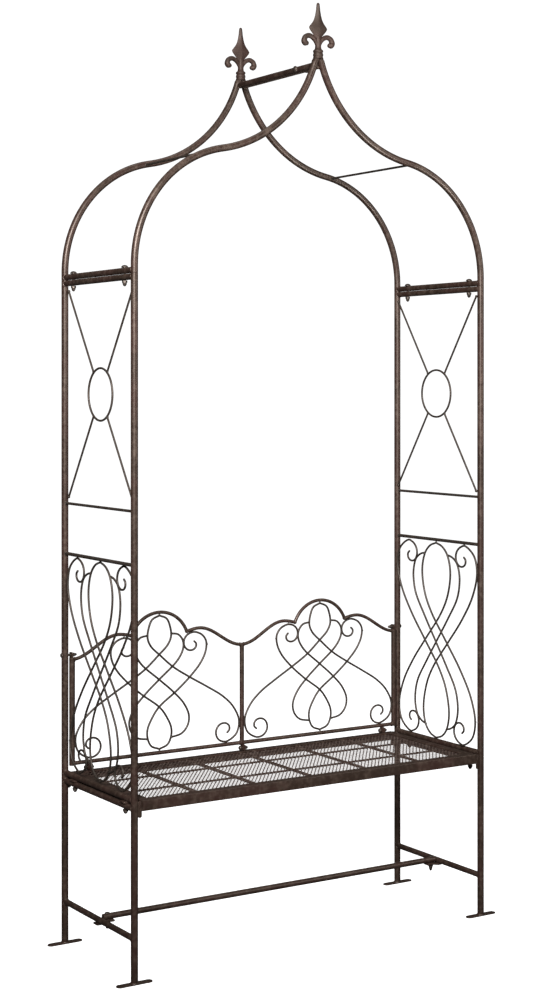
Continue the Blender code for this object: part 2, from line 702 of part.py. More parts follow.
def make_finial(name, y, base_z):
    """A cast spearhead with two curled leaves above a collar."""
    base = Vector((0.0, y, base_z))
    h = FINIAL_HEIGHT
    bm = bmesh.new()
    profile = [(0.0, 0.0140), (0.042 * h, 0.0118), (0.048 * h, 0.0128), (0.094 * h, 0.0128),
               (0.107 * h, 0.0112), (0.122 * h, 0.0130), (0.160 * h, 0.0126), (0.180 * h, 0.0086),
               (0.245 * h, 0.0078), (0.33 * h, 0.0080), (0.39 * h, 0.0060)]
    add_lathe(bm, base, (0, 0, 1), profile, sides=10)
    finial = finish(name, bm, CAST_BRONZE)
    span = FINIAL_SPAN / 2
    r = FINIAL_LEAF_R
    leaf = ((0.04, 0.20, 0.60), (0.13, 0.284, 0.75), (0.30, 0.360, 0.92), (0.55, 0.400, 1.0),
            (0.73, 0.388, 1.02), (0.86, 0.350, 1.08), (0.895, 0.300, 1.2), (0.83, 0.268, 1.24),
            (0.75, 0.262, 0.9))
    for sx in (-1, 1):
        points = [base + Vector((sx * span * p, 0.0, h * q)) for p, q, _ in leaf]
        sizes = [r * size for _, _, size in leaf]
        fuse(finial, solid(add_sweep, points, sizes, (0, 1, 0), sides=8))
    return fuse(finial, solid(blade, base))


def make_arch():
    for corner, sx, sy in CORNERS:
        arch_tube(corner, sx, sy)
    curve = arch_curve()
    top_z = curve[-1][1] - APEX_TRIM
    for side, sx in SIDES:
        x = sx * HALF_X
        foot = post_to_post("arch_foot_rail_" + side, x, ARCH_FOOT_Z, RAIL_R, bore=RAIL_R - RAIL_WALL)
        for sy, end in ((-1, "front"), (1, "back")):
            y = sy * BOLT_Y
            drill(foot, (x, y, ARCH_FOOT_Z), (0, 0, 1), RAIL_OD * 2)
            bolt("arch_bolt_%s_%s" % (end, side), (x, y, ARCH_FOOT_Z + RAIL_R), (0, 0, -1), 2 * RAIL_OD + GAP)
        below = max(i for i in range(len(curve) - 1) if curve[i + 1][0] < TIE_ROD_X <= curve[i][0])
        (x0, z0), (x1, z1) = curve[below], curve[below + 1]
        tie_z = z0 + (z1 - z0) * (TIE_ROD_X - x0) / (x1 - x0)
        end = HALF_Y - POST_R - COPE_GAP
        bm = bmesh.new()
        add_tube(bm, (sx * TIE_ROD_X, -end, tie_z), (sx * TIE_ROD_X, end, tie_z), TIE_ROD_OD / 2, sides=8)
        finish("arch_tie_rod_" + side, bm, BLACK_BRONZE)
        ridge_x = sx * RIDGE_SPACING / 2
        ridge_z = top_z - RIDGE_DROP
        bm = bmesh.new()
        add_tube(bm, (ridge_x, -end, ridge_z), (ridge_x, end, ridge_z), RAIL_R, bore=RAIL_R - RAIL_WALL)
        ridge = finish("ridge_rail_" + side, bm, DARK_BRONZE)
        drill(ridge, (ridge_x, RIDGE_BOLT_Y, ridge_z), (1, 0, 0), RAIL_OD * 1.02)
    bolt("ridge_bolt", (-RIDGE_SPACING / 2 - RAIL_R, RIDGE_BOLT_Y, top_z - RIDGE_DROP), (1, 0, 0),
         RIDGE_SPACING + RAIL_OD)
    make_finial("finial_front", -HALF_Y, top_z + GAP)
    make_finial("finial_back", HALF_Y, top_z + GAP)


# ------------------------------------------------------------------ seat
def add_angle(bm, length_axis, low, high, face, inward):
    """An angle bar: a standing leg on the outer face and a flange on top that turns inward."""
    foot = SEAT_TOP_Z - ANGLE_LEG
    under = SEAT_TOP_Z - ANGLE_T
    outline = [(face, foot), (face, SEAT_TOP_Z), (face + inward * ANGLE_FLANGE, SEAT_TOP_Z),
               (face + inward * ANGLE_FLANGE, under), (face + inward * ANGLE_T, under),
               (face + inward * ANGLE_T, foot)]
    add_prism(bm, outline, low, high, length_axis)


def make_seat():
    """Angle-iron rim, cross bars and rods, ears for the side bolts and lugs for the corners."""
    bm = bmesh.new()
    add_angle(bm, "x", -SEAT_X, SEAT_X, -SEAT_Y, 1)
    seat = finish("seat_frame", bm, DARK_BRONZE)
    fuse(seat, solid(add_angle, "x", -SEAT_X, SEAT_X, SEAT_Y, -1))
    inset = SEAT_Y - ANGLE_T / 2
    for side, sx in SIDES:
        outline = [(sx * SEAT_X, SEAT_TOP_Z - ANGLE_LEG), (sx * SEAT_X, SEAT_TOP_Z),
                   (sx * (SEAT_X - ANGLE_FLANGE), SEAT_TOP_Z),
                   (sx * (SEAT_X - ANGLE_FLANGE), SEAT_TOP_Z - ANGLE_T),
                   (sx * (SEAT_X - ANGLE_T), SEAT_TOP_Z - ANGLE_T),
                   (sx * (SEAT_X - ANGLE_T), SEAT_TOP_Z - ANGLE_LEG)]
        fuse(seat, solid(add_prism, outline, -inset, inset, "y"))
    mesh_top = SEAT_TOP_Z - ANGLE_T - GAP
    bar_top = mesh_top - MESH_T - GAP
    rod_z = bar_top - CROSS_BAR_T + SEAT_ROD_OD * 0.2
    for y in (-SEAT_ROD_Y, SEAT_ROD_Y):
        end = SEAT_X - ANGLE_T / 2
        fuse(seat, solid(add_tube, (-end, y, rod_z), (end, y, rod_z), SEAT_ROD_OD / 2, sides=6))
    pitch = 2 * SEAT_X / (SEAT_CROSS_BARS + 1)
    for k in range(SEAT_CROSS_BARS):
        x = -SEAT_X + pitch * (k + 1)
        fuse(seat, solid(add_box, (x - CROSS_BAR_W / 2, -inset, bar_top - CROSS_BAR_T),
                         (x + CROSS_BAR_W / 2, inset, bar_top)))
    ear_low = SEAT_JOINT_Z - EAR_T / 2
    for side, sx in SIDES:
        ear_x = sorted((sx * (SEAT_X - ANGLE_T / 2), sx * (HALF_X + EAR_TAIL)))
        for _, y in SEAT_BOLTS:
            fuse(seat, solid(add_box, (ear_x[0], y - EAR_WIDTH / 2, ear_low),
                             (ear_x[1], y + EAR_WIDTH / 2, ear_low + EAR_T)))
            drill(seat, (sx * HALF_X, y, ear_low), (0, 0, 1), 0.02)
        for sy in (-1, 1):
            lug_x = sorted((sx * (SEAT_X - ANGLE_T / 2), sx * (HALF_X - POST_R - 2 * GAP)))
            lug_y = sorted((sy * (HALF_Y + LUG_T * 0.25), sy * (HALF_Y + LUG_T * 1.25)))
            fuse(seat, solid(add_box, (lug_x[0], lug_y[0], SEAT_TOP_Z - ANGLE_LEG - LUG_DROP),
                             (lug_x[1], lug_y[1], SEAT_TOP_Z - 0.001)))
    lug_top = BACKREST_BOTTOM_Z - BACKREST_BOTTOM_OD / 2 - 0.0015
    for x in (-FOOT_LUG_X, 0.0, FOOT_LUG_X):
        low = (x + GAP / 2, BACKREST_Y - BACKREST_LUG_W / 2, SEAT_TOP_Z - ANGLE_T / 2)
        high = (x + GAP / 2 + BACKREST_LUG_T, BACKREST_Y + BACKREST_LUG_W / 2, lug_top)
        fuse(seat, solid(add_box, low, high))
        drill(seat, (x + BACKREST_LUG_T / 2, BACKREST_Y, FOOT_BOLT_Z), (1, 0, 0), 0.02)
    bm = bmesh.new()
    edge = ANGLE_T + COPE_GAP
    add_box(bm, (-SEAT_X + edge, -SEAT_Y + edge, mesh_top - MESH_T), (SEAT_X - edge, SEAT_Y - edge, mesh_top))
    finish("seat_mesh", bm, DARK_BRONZE)
    for side, sx in SIDES:
        for end, y in SEAT_BOLTS:
            bore = RAIL_R - RAIL_WALL
            head_z = PANEL_BOTTOM_Z - math.sqrt(bore ** 2 - SEAT_BOLT_HEAD_R ** 2)
            grip = head_z - (LEG_TOP_RAIL_Z - RAIL_R)
            if (side, end) == ("right", "front"):
                grip += LOOSE_NUT_DROP
            bolt("seat_bolt_%s_%s" % (end, side), (sx * HALF_X, y, head_z), (0, 0, -1), grip,
                 head_height=0.003, head_radius=SEAT_BOLT_HEAD_R, dome=NUT_DOME * 0.7)


# ------------------------------------------------------------------ backrest
def backrest_top_line(middle, half):
    """Scalloped top line of one half: crown between two cusps, falling shoulders, low ends."""
    cusp_drop = BACKREST_CROWN_Z - BACKREST_CUSP_Z
    crown = (BACKREST_CUSP_X ** 2 + cusp_drop ** 2) / (2 * cusp_drop)
    line = []
    for k in range(5):
        t = 1 - k / 5
        x = BACKREST_SHOULDER_X + (half - BACKREST_SHOULDER_X) * t
        fall = (1 + math.cos(math.pi * t)) / 2
        line.append((x, BACKREST_VALLEY_Z + (BACKREST_SHOULDER_Z - BACKREST_VALLEY_Z) * fall))
    line.append((BACKREST_SHOULDER_X, BACKREST_SHOULDER_Z))
    between = (BACKREST_SHOULDER_X + BACKREST_CUSP_X) / 2
    line.append((between, BACKREST_CUSP_Z + (BACKREST_SHOULDER_Z - BACKREST_CUSP_Z) * 0.74))
    for k in range(5):
        x = BACKREST_CUSP_X * math.cos(math.pi / 2 * k / 5)
        line.append((x, BACKREST_CROWN_Z - crown + math.sqrt(crown ** 2 - x ** 2)))
    line.append((0.0, BACKREST_CROWN_Z))
    left = [(middle - x, z) for x, z in line]
    right = [(middle + x, z) for x, z in reversed(line[:-1])]
    return left + right


def make_backrest():
    """Backrest frame of bent rod and uprights, its lugs, and the two scrolls it holds."""
    end_x = HALF_X - POST_R - BACKREST_END_GAP - BACKREST_END_OD / 2
    middle = end_x / 2
    right = backrest_top_line(middle, middle)
    line = [(-x, z) for x, z in reversed(right)][:-1] + right
    points = [Vector((x, BACKREST_Y, z)) for x, z in line]
    bm = bmesh.new()
    add_sweep(bm, points, BACKREST_TOP_OD / 2, (0, 1, 0), sides=8)
    frame = finish("backrest_frame", bm, DARK_BRONZE)
    low = BACKREST_BOTTOM_Z - BACKREST_BOTTOM_OD / 2
    high = BACKREST_VALLEY_Z + BACKREST_TOP_OD * 0.4
    for x, radius in ((-end_x, BACKREST_END_OD / 2), (end_x, BACKREST_END_OD / 2)):
        fuse(frame, solid(add_tube, (x, BACKREST_Y, low), (x, BACKREST_Y, high), radius))
    fuse(frame, solid(add_tube, (0, BACKREST_Y, BACKREST_BOTTOM_Z), (0, BACKREST_Y, BACKREST_VALLEY_Z),
                      BACKREST_MID_OD / 2, sides=10))
    ends = [(sx * end_x, BACKREST_Y, BACKREST_BOTTOM_Z) for sx in (-1, 1)]
    fuse(frame, solid(add_tube, ends[0], ends[1], BACKREST_BOTTOM_OD / 2, sides=8))
    for x in (-end_x, end_x):
        cut(frame, solid(add_tube, (x, BACKREST_Y, low - 0.01), (x, BACKREST_Y, high - 0.012),
                         BACKREST_END_OD / 2 - RAIL_WALL, sides=10))
    lug_low = SEAT_TOP_Z + 0.0018
    lug_top = BACKREST_BOTTOM_Z - BACKREST_BOTTOM_OD * 0.3
    for x in (-FOOT_LUG_X, 0.0, FOOT_LUG_X):
        fuse(frame, solid(add_box, (x - GAP / 2 - BACKREST_LUG_T, BACKREST_Y - BACKREST_LUG_W / 2, lug_low),
                          (x - GAP / 2, BACKREST_Y + BACKREST_LUG_W / 2, lug_top)))
        drill(frame, (x - BACKREST_LUG_T / 2, BACKREST_Y, FOOT_BOLT_Z), (1, 0, 0), 0.02)
    for side, sx in SIDES:
        eye = sorted((sx * (end_x - 0.002), sx * (end_x + 0.002)))
        fuse(frame, solid(add_box, (eye[0], BACKREST_Y - 0.004, high - 0.003),
                          (eye[1], HALF_Y + 0.0065, TOP_BOLT_Z + 0.0065)))
        drill(frame, (sx * end_x, HALF_Y, TOP_BOLT_Z), (1, 0, 0), 0.012)
        outer = HALF_X + POST_R
        bolt("backrest_top_bolt_" + side, (sx * outer, HALF_Y, TOP_BOLT_Z), (-sx, 0, 0), outer - end_x + 0.002,
             head_height=0.0035, head_radius=0.0070)
        backrest_scroll(side, sx, middle, end_x)
    for name, x in (("left", -FOOT_LUG_X), ("middle", 0.0), ("right", FOOT_LUG_X)):
        bolt("backrest_foot_bolt_" + name, (x - GAP / 2 - BACKREST_LUG_T, BACKREST_Y, FOOT_BOLT_Z), (1, 0, 0),
             2 * BACKREST_LUG_T + GAP, head_height=0.0055, head_radius=0.0062)


def backrest_scroll(side, sx, middle, end_x):
    """The wide scroll in one half of the backrest."""
    wide = middle - max(BACKREST_END_OD, BACKREST_MID_OD) / 2 - GAP - WIRE_R
    top = BACKREST_CROWN_Z - BACKREST_TOP_OD / 2 - 4 * GAP - WIRE_R
    bottom = BACKREST_BOTTOM_Z + BACKREST_BOTTOM_OD / 2 + 5 * GAP + WIRE_R
    centre = (top + bottom) / 2
    tall = (top - bottom) / 2
    shoulder = BACKREST_SHOULDER_Z - BACKREST_TOP_OD / 2 - GAP - WIRE_R - 0.0028
    arm = [(0.0, 1.0), (-0.091, 0.945), (-0.136, 0.82), (-0.151, 0.676), (-0.112, 0.552), (0.0, 0.407),
           (0.164, 0.2135), (0.368, 0.039), (0.584, -0.13), (0.794, -0.309), (0.925, -0.484), (0.998, -0.7),
           (0.965, -0.9), (0.85, -1.0)]
    lower = [(0.0, -1.0), (0.098, -0.945), (0.14, -0.828), (0.14, -0.696), (0.089, -0.543), (0.0, -0.378),
             (-0.226, -0.151), (-0.397, 0.048), (-0.526, 0.242), (-0.586, 0.407), (-0.592, 0.552),
             (-0.541, 0.655), (-0.455, (shoulder - centre) / tall)]
    second = [(-0.151, 0.715), (-0.241, 0.69), (-0.298, 0.593), (-0.301, 0.469), (-0.233, 0.304), (0.0, 0.033),
              (0.164, -0.159), (0.299, -0.357), (0.36, -0.543), (0.344, -0.688), (0.269, -0.799),
              (0.14, -0.84)]
    arm, lower, second = [[(p * wide, q * tall) for p, q in keys] for keys in (arm, lower, second)]
    curls = (((arm[-1][0] - 0.012, arm[-1][1] + 0.0255), CURL_R, -1),
             ((lower[-1][0] + 0.0135, lower[-1][1] - 0.026), CURL_R * 0.9, -1))

    def place(p, q, offset):
        return Vector((sx * middle + p, BACKREST_Y - offset, centre + q))

    return make_scroll("backrest_scroll_" + side, scroll_wires(arm, lower, second, place, curls), (0, 1, 0))


# ------------------------------------------------------------------ build
clear_scene()
DARK_BRONZE = material("dark_bronze_paint", (0.045, 0.031, 0.024), 0.55, 0.35)
BLACK_BRONZE = material("wire_bronze_paint", (0.038, 0.034, 0.030), 0.5, 0.35)
CAST_BRONZE = material("cast_bronze_paint", (0.050, 0.030, 0.024), 0.6, 0.35)
STEEL = DARK_BRONZE

make_leg_frames()
make_side_panels()
make_arch()
make_seat()
make_backrest()
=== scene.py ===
"""Looks of a garden arch with a bench seat: drawn tubes, bent wire, castings, mesh and bronze paint."""

import math

import bpy
import numpy as np
from mathutils import Matrix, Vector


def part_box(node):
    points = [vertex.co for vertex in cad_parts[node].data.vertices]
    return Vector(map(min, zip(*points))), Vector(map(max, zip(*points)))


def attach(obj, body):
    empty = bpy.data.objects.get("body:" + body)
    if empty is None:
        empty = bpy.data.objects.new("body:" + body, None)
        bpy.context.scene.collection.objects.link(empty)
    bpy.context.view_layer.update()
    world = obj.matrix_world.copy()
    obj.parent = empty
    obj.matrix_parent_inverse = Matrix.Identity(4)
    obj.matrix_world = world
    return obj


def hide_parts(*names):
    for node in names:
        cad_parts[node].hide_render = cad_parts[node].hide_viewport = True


bl_info = {
    "name": "Garden Arch Bench",
    "version": (1, 0, 0),
    "blender": (4, 5, 0),
    "location": "View3D > Sidebar > Arch",
    "description": "Finishes the tubes, scrolls, castings, seat and paint of a garden arch with a bench",
    "category": "Object",
}

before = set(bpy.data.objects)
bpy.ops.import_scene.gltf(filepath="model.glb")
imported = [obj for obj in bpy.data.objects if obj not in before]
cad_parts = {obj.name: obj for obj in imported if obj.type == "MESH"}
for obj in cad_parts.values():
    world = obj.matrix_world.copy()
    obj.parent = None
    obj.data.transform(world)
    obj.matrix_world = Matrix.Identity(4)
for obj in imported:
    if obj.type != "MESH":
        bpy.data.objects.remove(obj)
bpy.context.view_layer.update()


# ---- places read from the frame
def span(node):
    """Lowest and highest corner of a node, as arrays."""
    low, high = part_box(node)
    return np.array(low), np.array(high)


def middle(node):
    """Middle of a node's box."""
    low, high = span(node)
    return (low + high) / 2


def half_size(node, axis):
    """Half of a node's size along one axis: 0 for X, 1 for Y, 2 for Z."""
    low, high = span(node)
    return (high[axis] - low[axis]) / 2


SIDES = (("left", -1), ("right", 1))
ENDS = (("front", -1), ("back", 1))
CORNERS = tuple((end + "_" + side, sx, sy) for end, sy in ENDS for side, sx in SIDES)

X_AXIS = np.array((1.0, 0.0, 0.0))
Y_AXIS = np.array((0.0, 1.0, 0.0))
Z_AXIS = np.array((0.0, 0.0, 1.0))

WHITE = (1.0, 1.0, 1.0, 1.0)
TINY = 1e-12

# Posts, rails and the levels where the arch comes apart
HALF_X = middle("post_back_right")[0]
HALF_Y = middle("post_back_right")[1]
POST_R = half_size("post_back_right", 0)
SEAT_JOINT_Z = span("post_back_right")[0][2]
ARCH_JOINT_Z = span("post_back_right")[1][2]
RAIL_R = half_size("panel_top_rail_right", 2)
FOOT_TOP_Z = 0.003
PANEL_BOTTOM_Z = middle("panel_bottom_rail_right")[2]
PANEL_TOP_Z = middle("panel_top_rail_right")[2]

# Seat, and the lugs that join it to the backrest: their faces measured from their bolt's middle
SEAT_X = 0.5
SEAT_Y = span("seat_frame")[1][1]
SEAT_TOP_Z = 0.4295
LUG_NEAR, LUG_FAR, LUG_HALF_WIDTH, LUG_CORNER = 0.00015, 0.00415, 0.007, 0.0025
# Height of the ripple in the mesh, its distance inside the sheet, and the stride of its corners' keys
MESH_RIPPLE, MESH_INSET, KEY_STRIDE = 0.00008, 0.0001, 100000

# Backrest
BACKREST_Y = 0.180
BACKREST_BOTTOM_Z = 0.4518
BACKREST_VALLEY_Z = 0.7138
BACKREST_SHOULDER = (0.1190, 0.7670)
BACKREST_CUSP = (0.0815, 0.7606)
BACKREST_CROWN_Z = 0.8160
BACKREST_TOP_R = 0.0045
BACKREST_BOTTOM_R = 0.0052
BACKREST_END_R = 0.0075
BACKREST_MID_R = 0.0060
BACKREST_END_X = HALF_X - 0.0170

# Bent wires: the layers of a scroll, its gap to the panel, and how its ends roll up
WIRE_R = 0.00275
SCROLL_X = middle("ring_and_cross_right")[0]
SCROLL_LAYER = WIRE_R + 0.00025
SIDE_SCROLL_GAP = 0.0006
WIDE_CURL_R, SMALL_CURL_R = 0.0232, 0.0209
CURL_TURN, CURL_HOOK, CURL_SETTLE = math.radians(308), math.radians(75), math.radians(40)
CURL_STEPS = 24

# Arch: its shoulder arc, the lean of its tubes at the peak, and its finials
SHOULDER_R, SHOULDER_SWEEP = 0.2944, math.radians(79.8)
APEX_X, APEX_LEAN = 0.0056, math.radians(15.6)
APEX_Z = span("arch_tube_front_left")[1][2]
# The far ridge rail gets extra bloom: painted light, standing in for light thrown up onto its underside.
RIDGE_PAINTED_LIGHT = {"left": 0.0, "right": 0.9}
BLADE_HALF_WIDTH, BLADE_HALF_THICKNESS = 0.0280, 0.0080
LEAF_R, LEAF_REACH = 0.0063, 0.0465

# Bolts of each kind: radius and height of the head, height of the nut's cap, and the nut's radius
BOLTS = {"stretcher": (0.0065, 0.0030, 0.0120, 0.0066), "backrest_top": (0.0058, 0.0035, 0.0085, 0.0052),
         "seat": (0.0044, 0.0030, 0.0060, 0.0066), "arch": (0.0085, 0.0060, 0.0085, 0.0066),
         "backrest_foot": (0.0062, 0.0055, 0.0085, 0.0066), "ridge": (0.0085, 0.0060, 0.0085, 0.0066)}
NUT_HEIGHT, SHANK_R = 0.0055, 0.003

# Ends of bars and beads of weld
CAP_DEGREES = (72.0, 50.0, 25.0)
CHAMFER = 0.0004
BEAD_STATIONS = 40

# Paint and stage
PAINT_GROUP = "Rubbed Bronze Paint"
PAINT_SPECULAR = 0.75
PAINT_TINT = (1.0, 0.85, 0.75, 1.0)
FLOOR_Z = -0.0005
# Each light: its name, place, the point it faces, size, power in watts, and spread in degrees
LIGHTS = (("key_light", (-2.9, -3.7, 3.2), (0, 0, 1.3), 1.3, 33.0, 46),
          ("fill_light", (2.8, -3.4, 2.4), (0, 0, 1.1), 1.8, 9.0, 90),
          ("top_light", (0.3, 0.4, 4.8), (0, 0, 1.2), 2.0, 8.0, 140),
          ("bounce_light", (0.4, -2.4, 0.15), (0, 0, 2.25), 1.2, 7.0, 48))


# ---- surfaces worked out as arrays
def unit(vector):
    """The same direction at length one, for one vector or an array of them."""
    vector = np.asarray(vector, float)
    return vector / np.linalg.norm(vector, axis=-1, keepdims=True)


def cross_axes(axis):
    """Two unit vectors square to an axis; the first crossed with the second gives the axis."""
    axis = unit(axis)
    helper = Z_AXIS if abs(axis[2]) < 0.9 else X_AXIS
    u = unit(np.cross(axis, helper))
    return u, np.cross(axis, u)


def skin(rings, start=None, end=None, closed=False):
    """Quads between neighbouring rings of points, with a fan of triangles to each end point given."""
    rows, sides = rings.shape[:2]
    points = rings.reshape(-1, 3)
    i = np.arange(rows if closed else rows - 1)[:, None]
    k = np.arange(sides)[None, :]
    after = (i + 1) % rows
    beside = (k + 1) % sides
    corners = (i * sides + k, i * sides + beside, after * sides + beside, after * sides + k)
    quads = np.stack(corners, -1).reshape(-1, 4)
    fans = []
    k = np.arange(sides)
    if start is not None:
        tip = np.full(sides, len(points))
        points = np.vstack((points, start))
        fans.append(np.stack((tip, (k + 1) % sides, k), -1))
    if end is not None:
        tip = np.full(sides, len(points))
        points = np.vstack((points, end))
        base = (rows - 1) * sides
        fans.append(np.stack((tip, base + k, base + (k + 1) % sides), -1))
    tris = np.vstack(fans) if fans else np.zeros((0, 3), int)
    return points, quads, tris


def angles(count):
    """Evenly spaced angles round a whole turn."""
    return 2 * np.pi * np.arange(count) / count


def circle(sides):
    """A round section: cosine and sine of evenly spaced angles."""
    a = angles(sides)
    return np.stack((np.cos(a), np.sin(a)), -1)


def rounded_rectangle(wide, high, corner, steps=4):
    """A rectangle's outline with quarter-circle corners, counter-clockwise from the right side."""
    a = np.linspace(0, np.pi / 2, steps)
    centres = ((1, 1), (-1, 1), (-1, -1), (1, -1))
    arcs = []
    for quarter, (sx, sy) in enumerate(centres):
        turn = a + quarter * np.pi / 2
        arc = np.stack((np.cos(turn), np.sin(turn)), -1) * corner
        arcs.append(arc + np.array((sx * (wide / 2 - corner), sy * (high / 2 - corner))))
    return np.vstack(arcs)


def carry(path, size, normal, section=None, sides=16, closed=False, ends=("round", "round")):
    """A section carried along a path.

    At each point the section's first axis is the normal crossed with the path's direction and its
    second axis completes the square; the section is scaled there by size. A round end follows a
    quarter circle down to a point, and a flat end has a narrow chamfer.
    """
    path = np.asarray(path, float)
    size = np.broadcast_to(np.asarray(size, float), (len(path),))
    section = circle(sides) if section is None else section
    caps = [None, None]
    if closed:
        tangent = unit(np.roll(path, -1, 0) - np.roll(path, 1, 0))
    else:
        for side in (0, 1):
            path, size, caps[side] = close_end(path, size, ends[side], section)
            path, size = path[::-1], size[::-1]
        tangent = unit(np.gradient(path, axis=0))
    first = unit(np.cross(np.broadcast_to(normal, tangent.shape), tangent))
    second = np.cross(tangent, first)
    across = (section[None, :, 0, None] * first[:, None]
              + section[None, :, 1, None] * second[:, None])
    rings = path[:, None] + size[:, None, None] * across
    return skin(rings, caps[0], caps[1], closed)


def close_end(path, size, kind, section):
    """Extra stations that close the first end of a path: a quarter circle, or a chamfer."""
    inward = unit(path[1] - path[0])
    reach = size[0] * np.abs(section).max()
    if kind == "round":
        a = np.radians(CAP_DEGREES)
        extra = path[0] - inward * (reach * np.sin(a))[:, None]
        tip = path[0] - inward * reach
        return np.vstack((extra, path)), np.concatenate((size[0] * np.cos(a), size)), tip
    edge = min(CHAMFER, reach * 0.25)
    extra = np.vstack((path[0], path[0] + inward * edge))
    path = np.vstack((extra, path[1:]))
    size = np.concatenate(((size[0] * (1 - edge / reach), size[0]), size[1:]))
    return path, size, path[0].copy()


def straight(start, end, radius, sides=32, ends=("flat", "flat"), stations=2):
    """A straight round bar or tube between two points."""
    start, end = np.asarray(start, float), np.asarray(end, float)
    share = np.linspace(0, 1, stations)[:, None]
    normal = cross_axes(end - start)[0]
    return carry(start + (end - start) * share, radius, normal, sides=sides, ends=ends)


def turned(origin, axis, heights, radii, sides=32, hexagon=None):
    """A profile turned about an axis: each height and radius makes one ring.

    Where hexagon is true, the ring is six-sided: the radius of its corners is multiplied by the
    cosine of 30 degrees over the cosine of the angle from the middle of the nearest flat.
    """
    u, v = cross_axes(axis)
    origin, heights, radii = np.asarray(origin), np.asarray(heights, float), np.asarray(radii, float)
    a = angles(sides)
    wide = np.broadcast_to(radii[:, None], (len(radii), sides)).copy()
    if hexagon is not None:
        from_flat = (a % (np.pi / 3)) - np.pi / 6
        six = math.cos(math.pi / 6) / np.cos(from_flat)
        wide *= np.where(np.asarray(hexagon)[:, None], six, 1.0)
    round_way = np.cos(a)[:, None] * u + np.sin(a)[:, None] * v
    rings = origin + heights[:, None, None] * unit(axis) + wide[..., None] * round_way
    return skin(rings, origin + heights[0] * unit(axis), origin + heights[-1] * unit(axis))


def plate(outline, low, high, axis, edge=0.0005):
    """A convex outline given thickness along an axis, its rims rounded by a quarter circle.

    Each rim ring is the outline moved inward along its own normals.
    """
    ahead = np.roll(outline, -1, 0) - outline
    behind = outline - np.roll(outline, 1, 0)
    along = unit(unit(ahead + TINY) + unit(behind + TINY))
    inward = np.stack((-along[:, 1], along[:, 0]), -1)
    a = np.radians((0.0, 45.0, 90.0))
    drop = edge * (1 - np.sin(a))
    rise = edge * (1 - np.cos(a))
    inset = np.concatenate((drop, drop[::-1]))
    level = np.concatenate((low + rise, high - rise[::-1]))
    flat = outline[None] + inward[None] * inset[:, None, None]
    height = np.broadcast_to(level[:, None, None], flat.shape[:2] + (1,))
    order = {"z": (0, 1, 2), "x": (2, 0, 1), "y": (0, 2, 1)}[axis]
    rings = np.concatenate((flat, height), -1)[..., order]
    if axis == "y":
        rings = rings[::-1]
    return skin(rings, rings[0].mean(0), rings[-1].mean(0))


def block(low, high, corner=0.0008, axis="z"):
    """A flat bar between two corners, with rounded corners and rims, thick along the axis."""
    low, high = np.asarray(low, float), np.asarray(high, float)
    a, b, c = {"z": (0, 1, 2), "x": (1, 2, 0), "y": (0, 2, 1)}[axis]
    outline = rounded_rectangle(high[a] - low[a], high[b] - low[b], corner)
    outline = outline + np.array(((low[a] + high[a]) / 2, (low[b] + high[b]) / 2))
    return plate(outline, low[c], high[c], axis)


def weld_ring(root, axis, radius, size, other_radius=None, other_axis=Z_AXIS):
    """The bead round a bar where it meets a round piece, or a flat one.

    It follows the line where the two surfaces cut: at each angle round the bar it stands off the
    root by the root of the other radius squared less the distance from the other axis squared. Its
    thickness swells and thins with two sine waves.
    """
    axis = unit(axis)
    u, v = cross_axes(axis)
    a = angles(BEAD_STATIONS)
    around = np.cos(a)[:, None] * u + np.sin(a)[:, None] * v
    reach = np.zeros(BEAD_STATIONS)
    if other_radius:
        past = (around * radius) @ unit(np.cross(axis, other_axis))
        reach = np.sqrt(np.maximum(other_radius ** 2 - past ** 2, 1e-7))
    path = np.asarray(root) + axis * (reach + size * 0.1)[:, None] + around * (radius + size * 0.05)
    swell, ripple = np.sin(7 * a + 31 * path[0, 2]), np.sin(12 * a + 17 * path[0, 0])
    return carry(path, size * (1 + 0.16 * swell + 0.10 * ripple), axis, sides=8, closed=True)


def weld_dab(centre, size):
    """A lumpy spot of weld: a sphere whose radius is varied by one sine wave times another."""
    theta = np.linspace(0, np.pi, 9)[1:-1, None]
    a = angles(14)
    across = size * (1 + 0.10 * np.sin(3 * a + 40 * centre[2]) * np.sin(theta)) * np.sin(theta)
    height = -size * np.cos(theta) * np.ones_like(a)
    rings = np.stack((across * np.cos(a), across * np.sin(a), height), -1)
    pole = np.array((0, 0, size))
    centre = np.asarray(centre, float)
    return skin(rings + centre, centre - pole, centre + pole)


def smooth_line(keys, steps):
    """A smooth curve through key points, each span a cubic whose end slopes weigh its neighbours.

    Each point's slope comes from the spans on either side, weighed by the root of their lengths.
    """
    keys = np.asarray(keys, float)
    keys = np.vstack((2 * keys[0] - keys[1], keys, 2 * keys[-1] - keys[-2]))
    t = np.arange(steps)[:, None] / steps
    spans = []
    for p0, p1, p2, p3 in zip(keys, keys[1:], keys[2:], keys[3:]):
        k1, k2, k3 = (max(np.linalg.norm(b - a), 1e-6) ** 0.5
                      for a, b in ((p0, p1), (p1, p2), (p2, p3)))
        m1 = (p1 - p0) / k1 - (p2 - p0) / (k1 + k2) + (p2 - p1) / k2
        m2 = (p2 - p1) / k2 - (p3 - p1) / (k2 + k3) + (p3 - p2) / k3
        spans.append(p1 * (2 * t ** 3 - 3 * t ** 2 + 1) + m1 * k2 * (t ** 3 - 2 * t ** 2 + t)
                     + p2 * (3 * t ** 2 - 2 * t ** 3) + m2 * k2 * (t ** 3 - t ** 2))
    spans.append(keys[-2:-1])
    return np.vstack(spans)


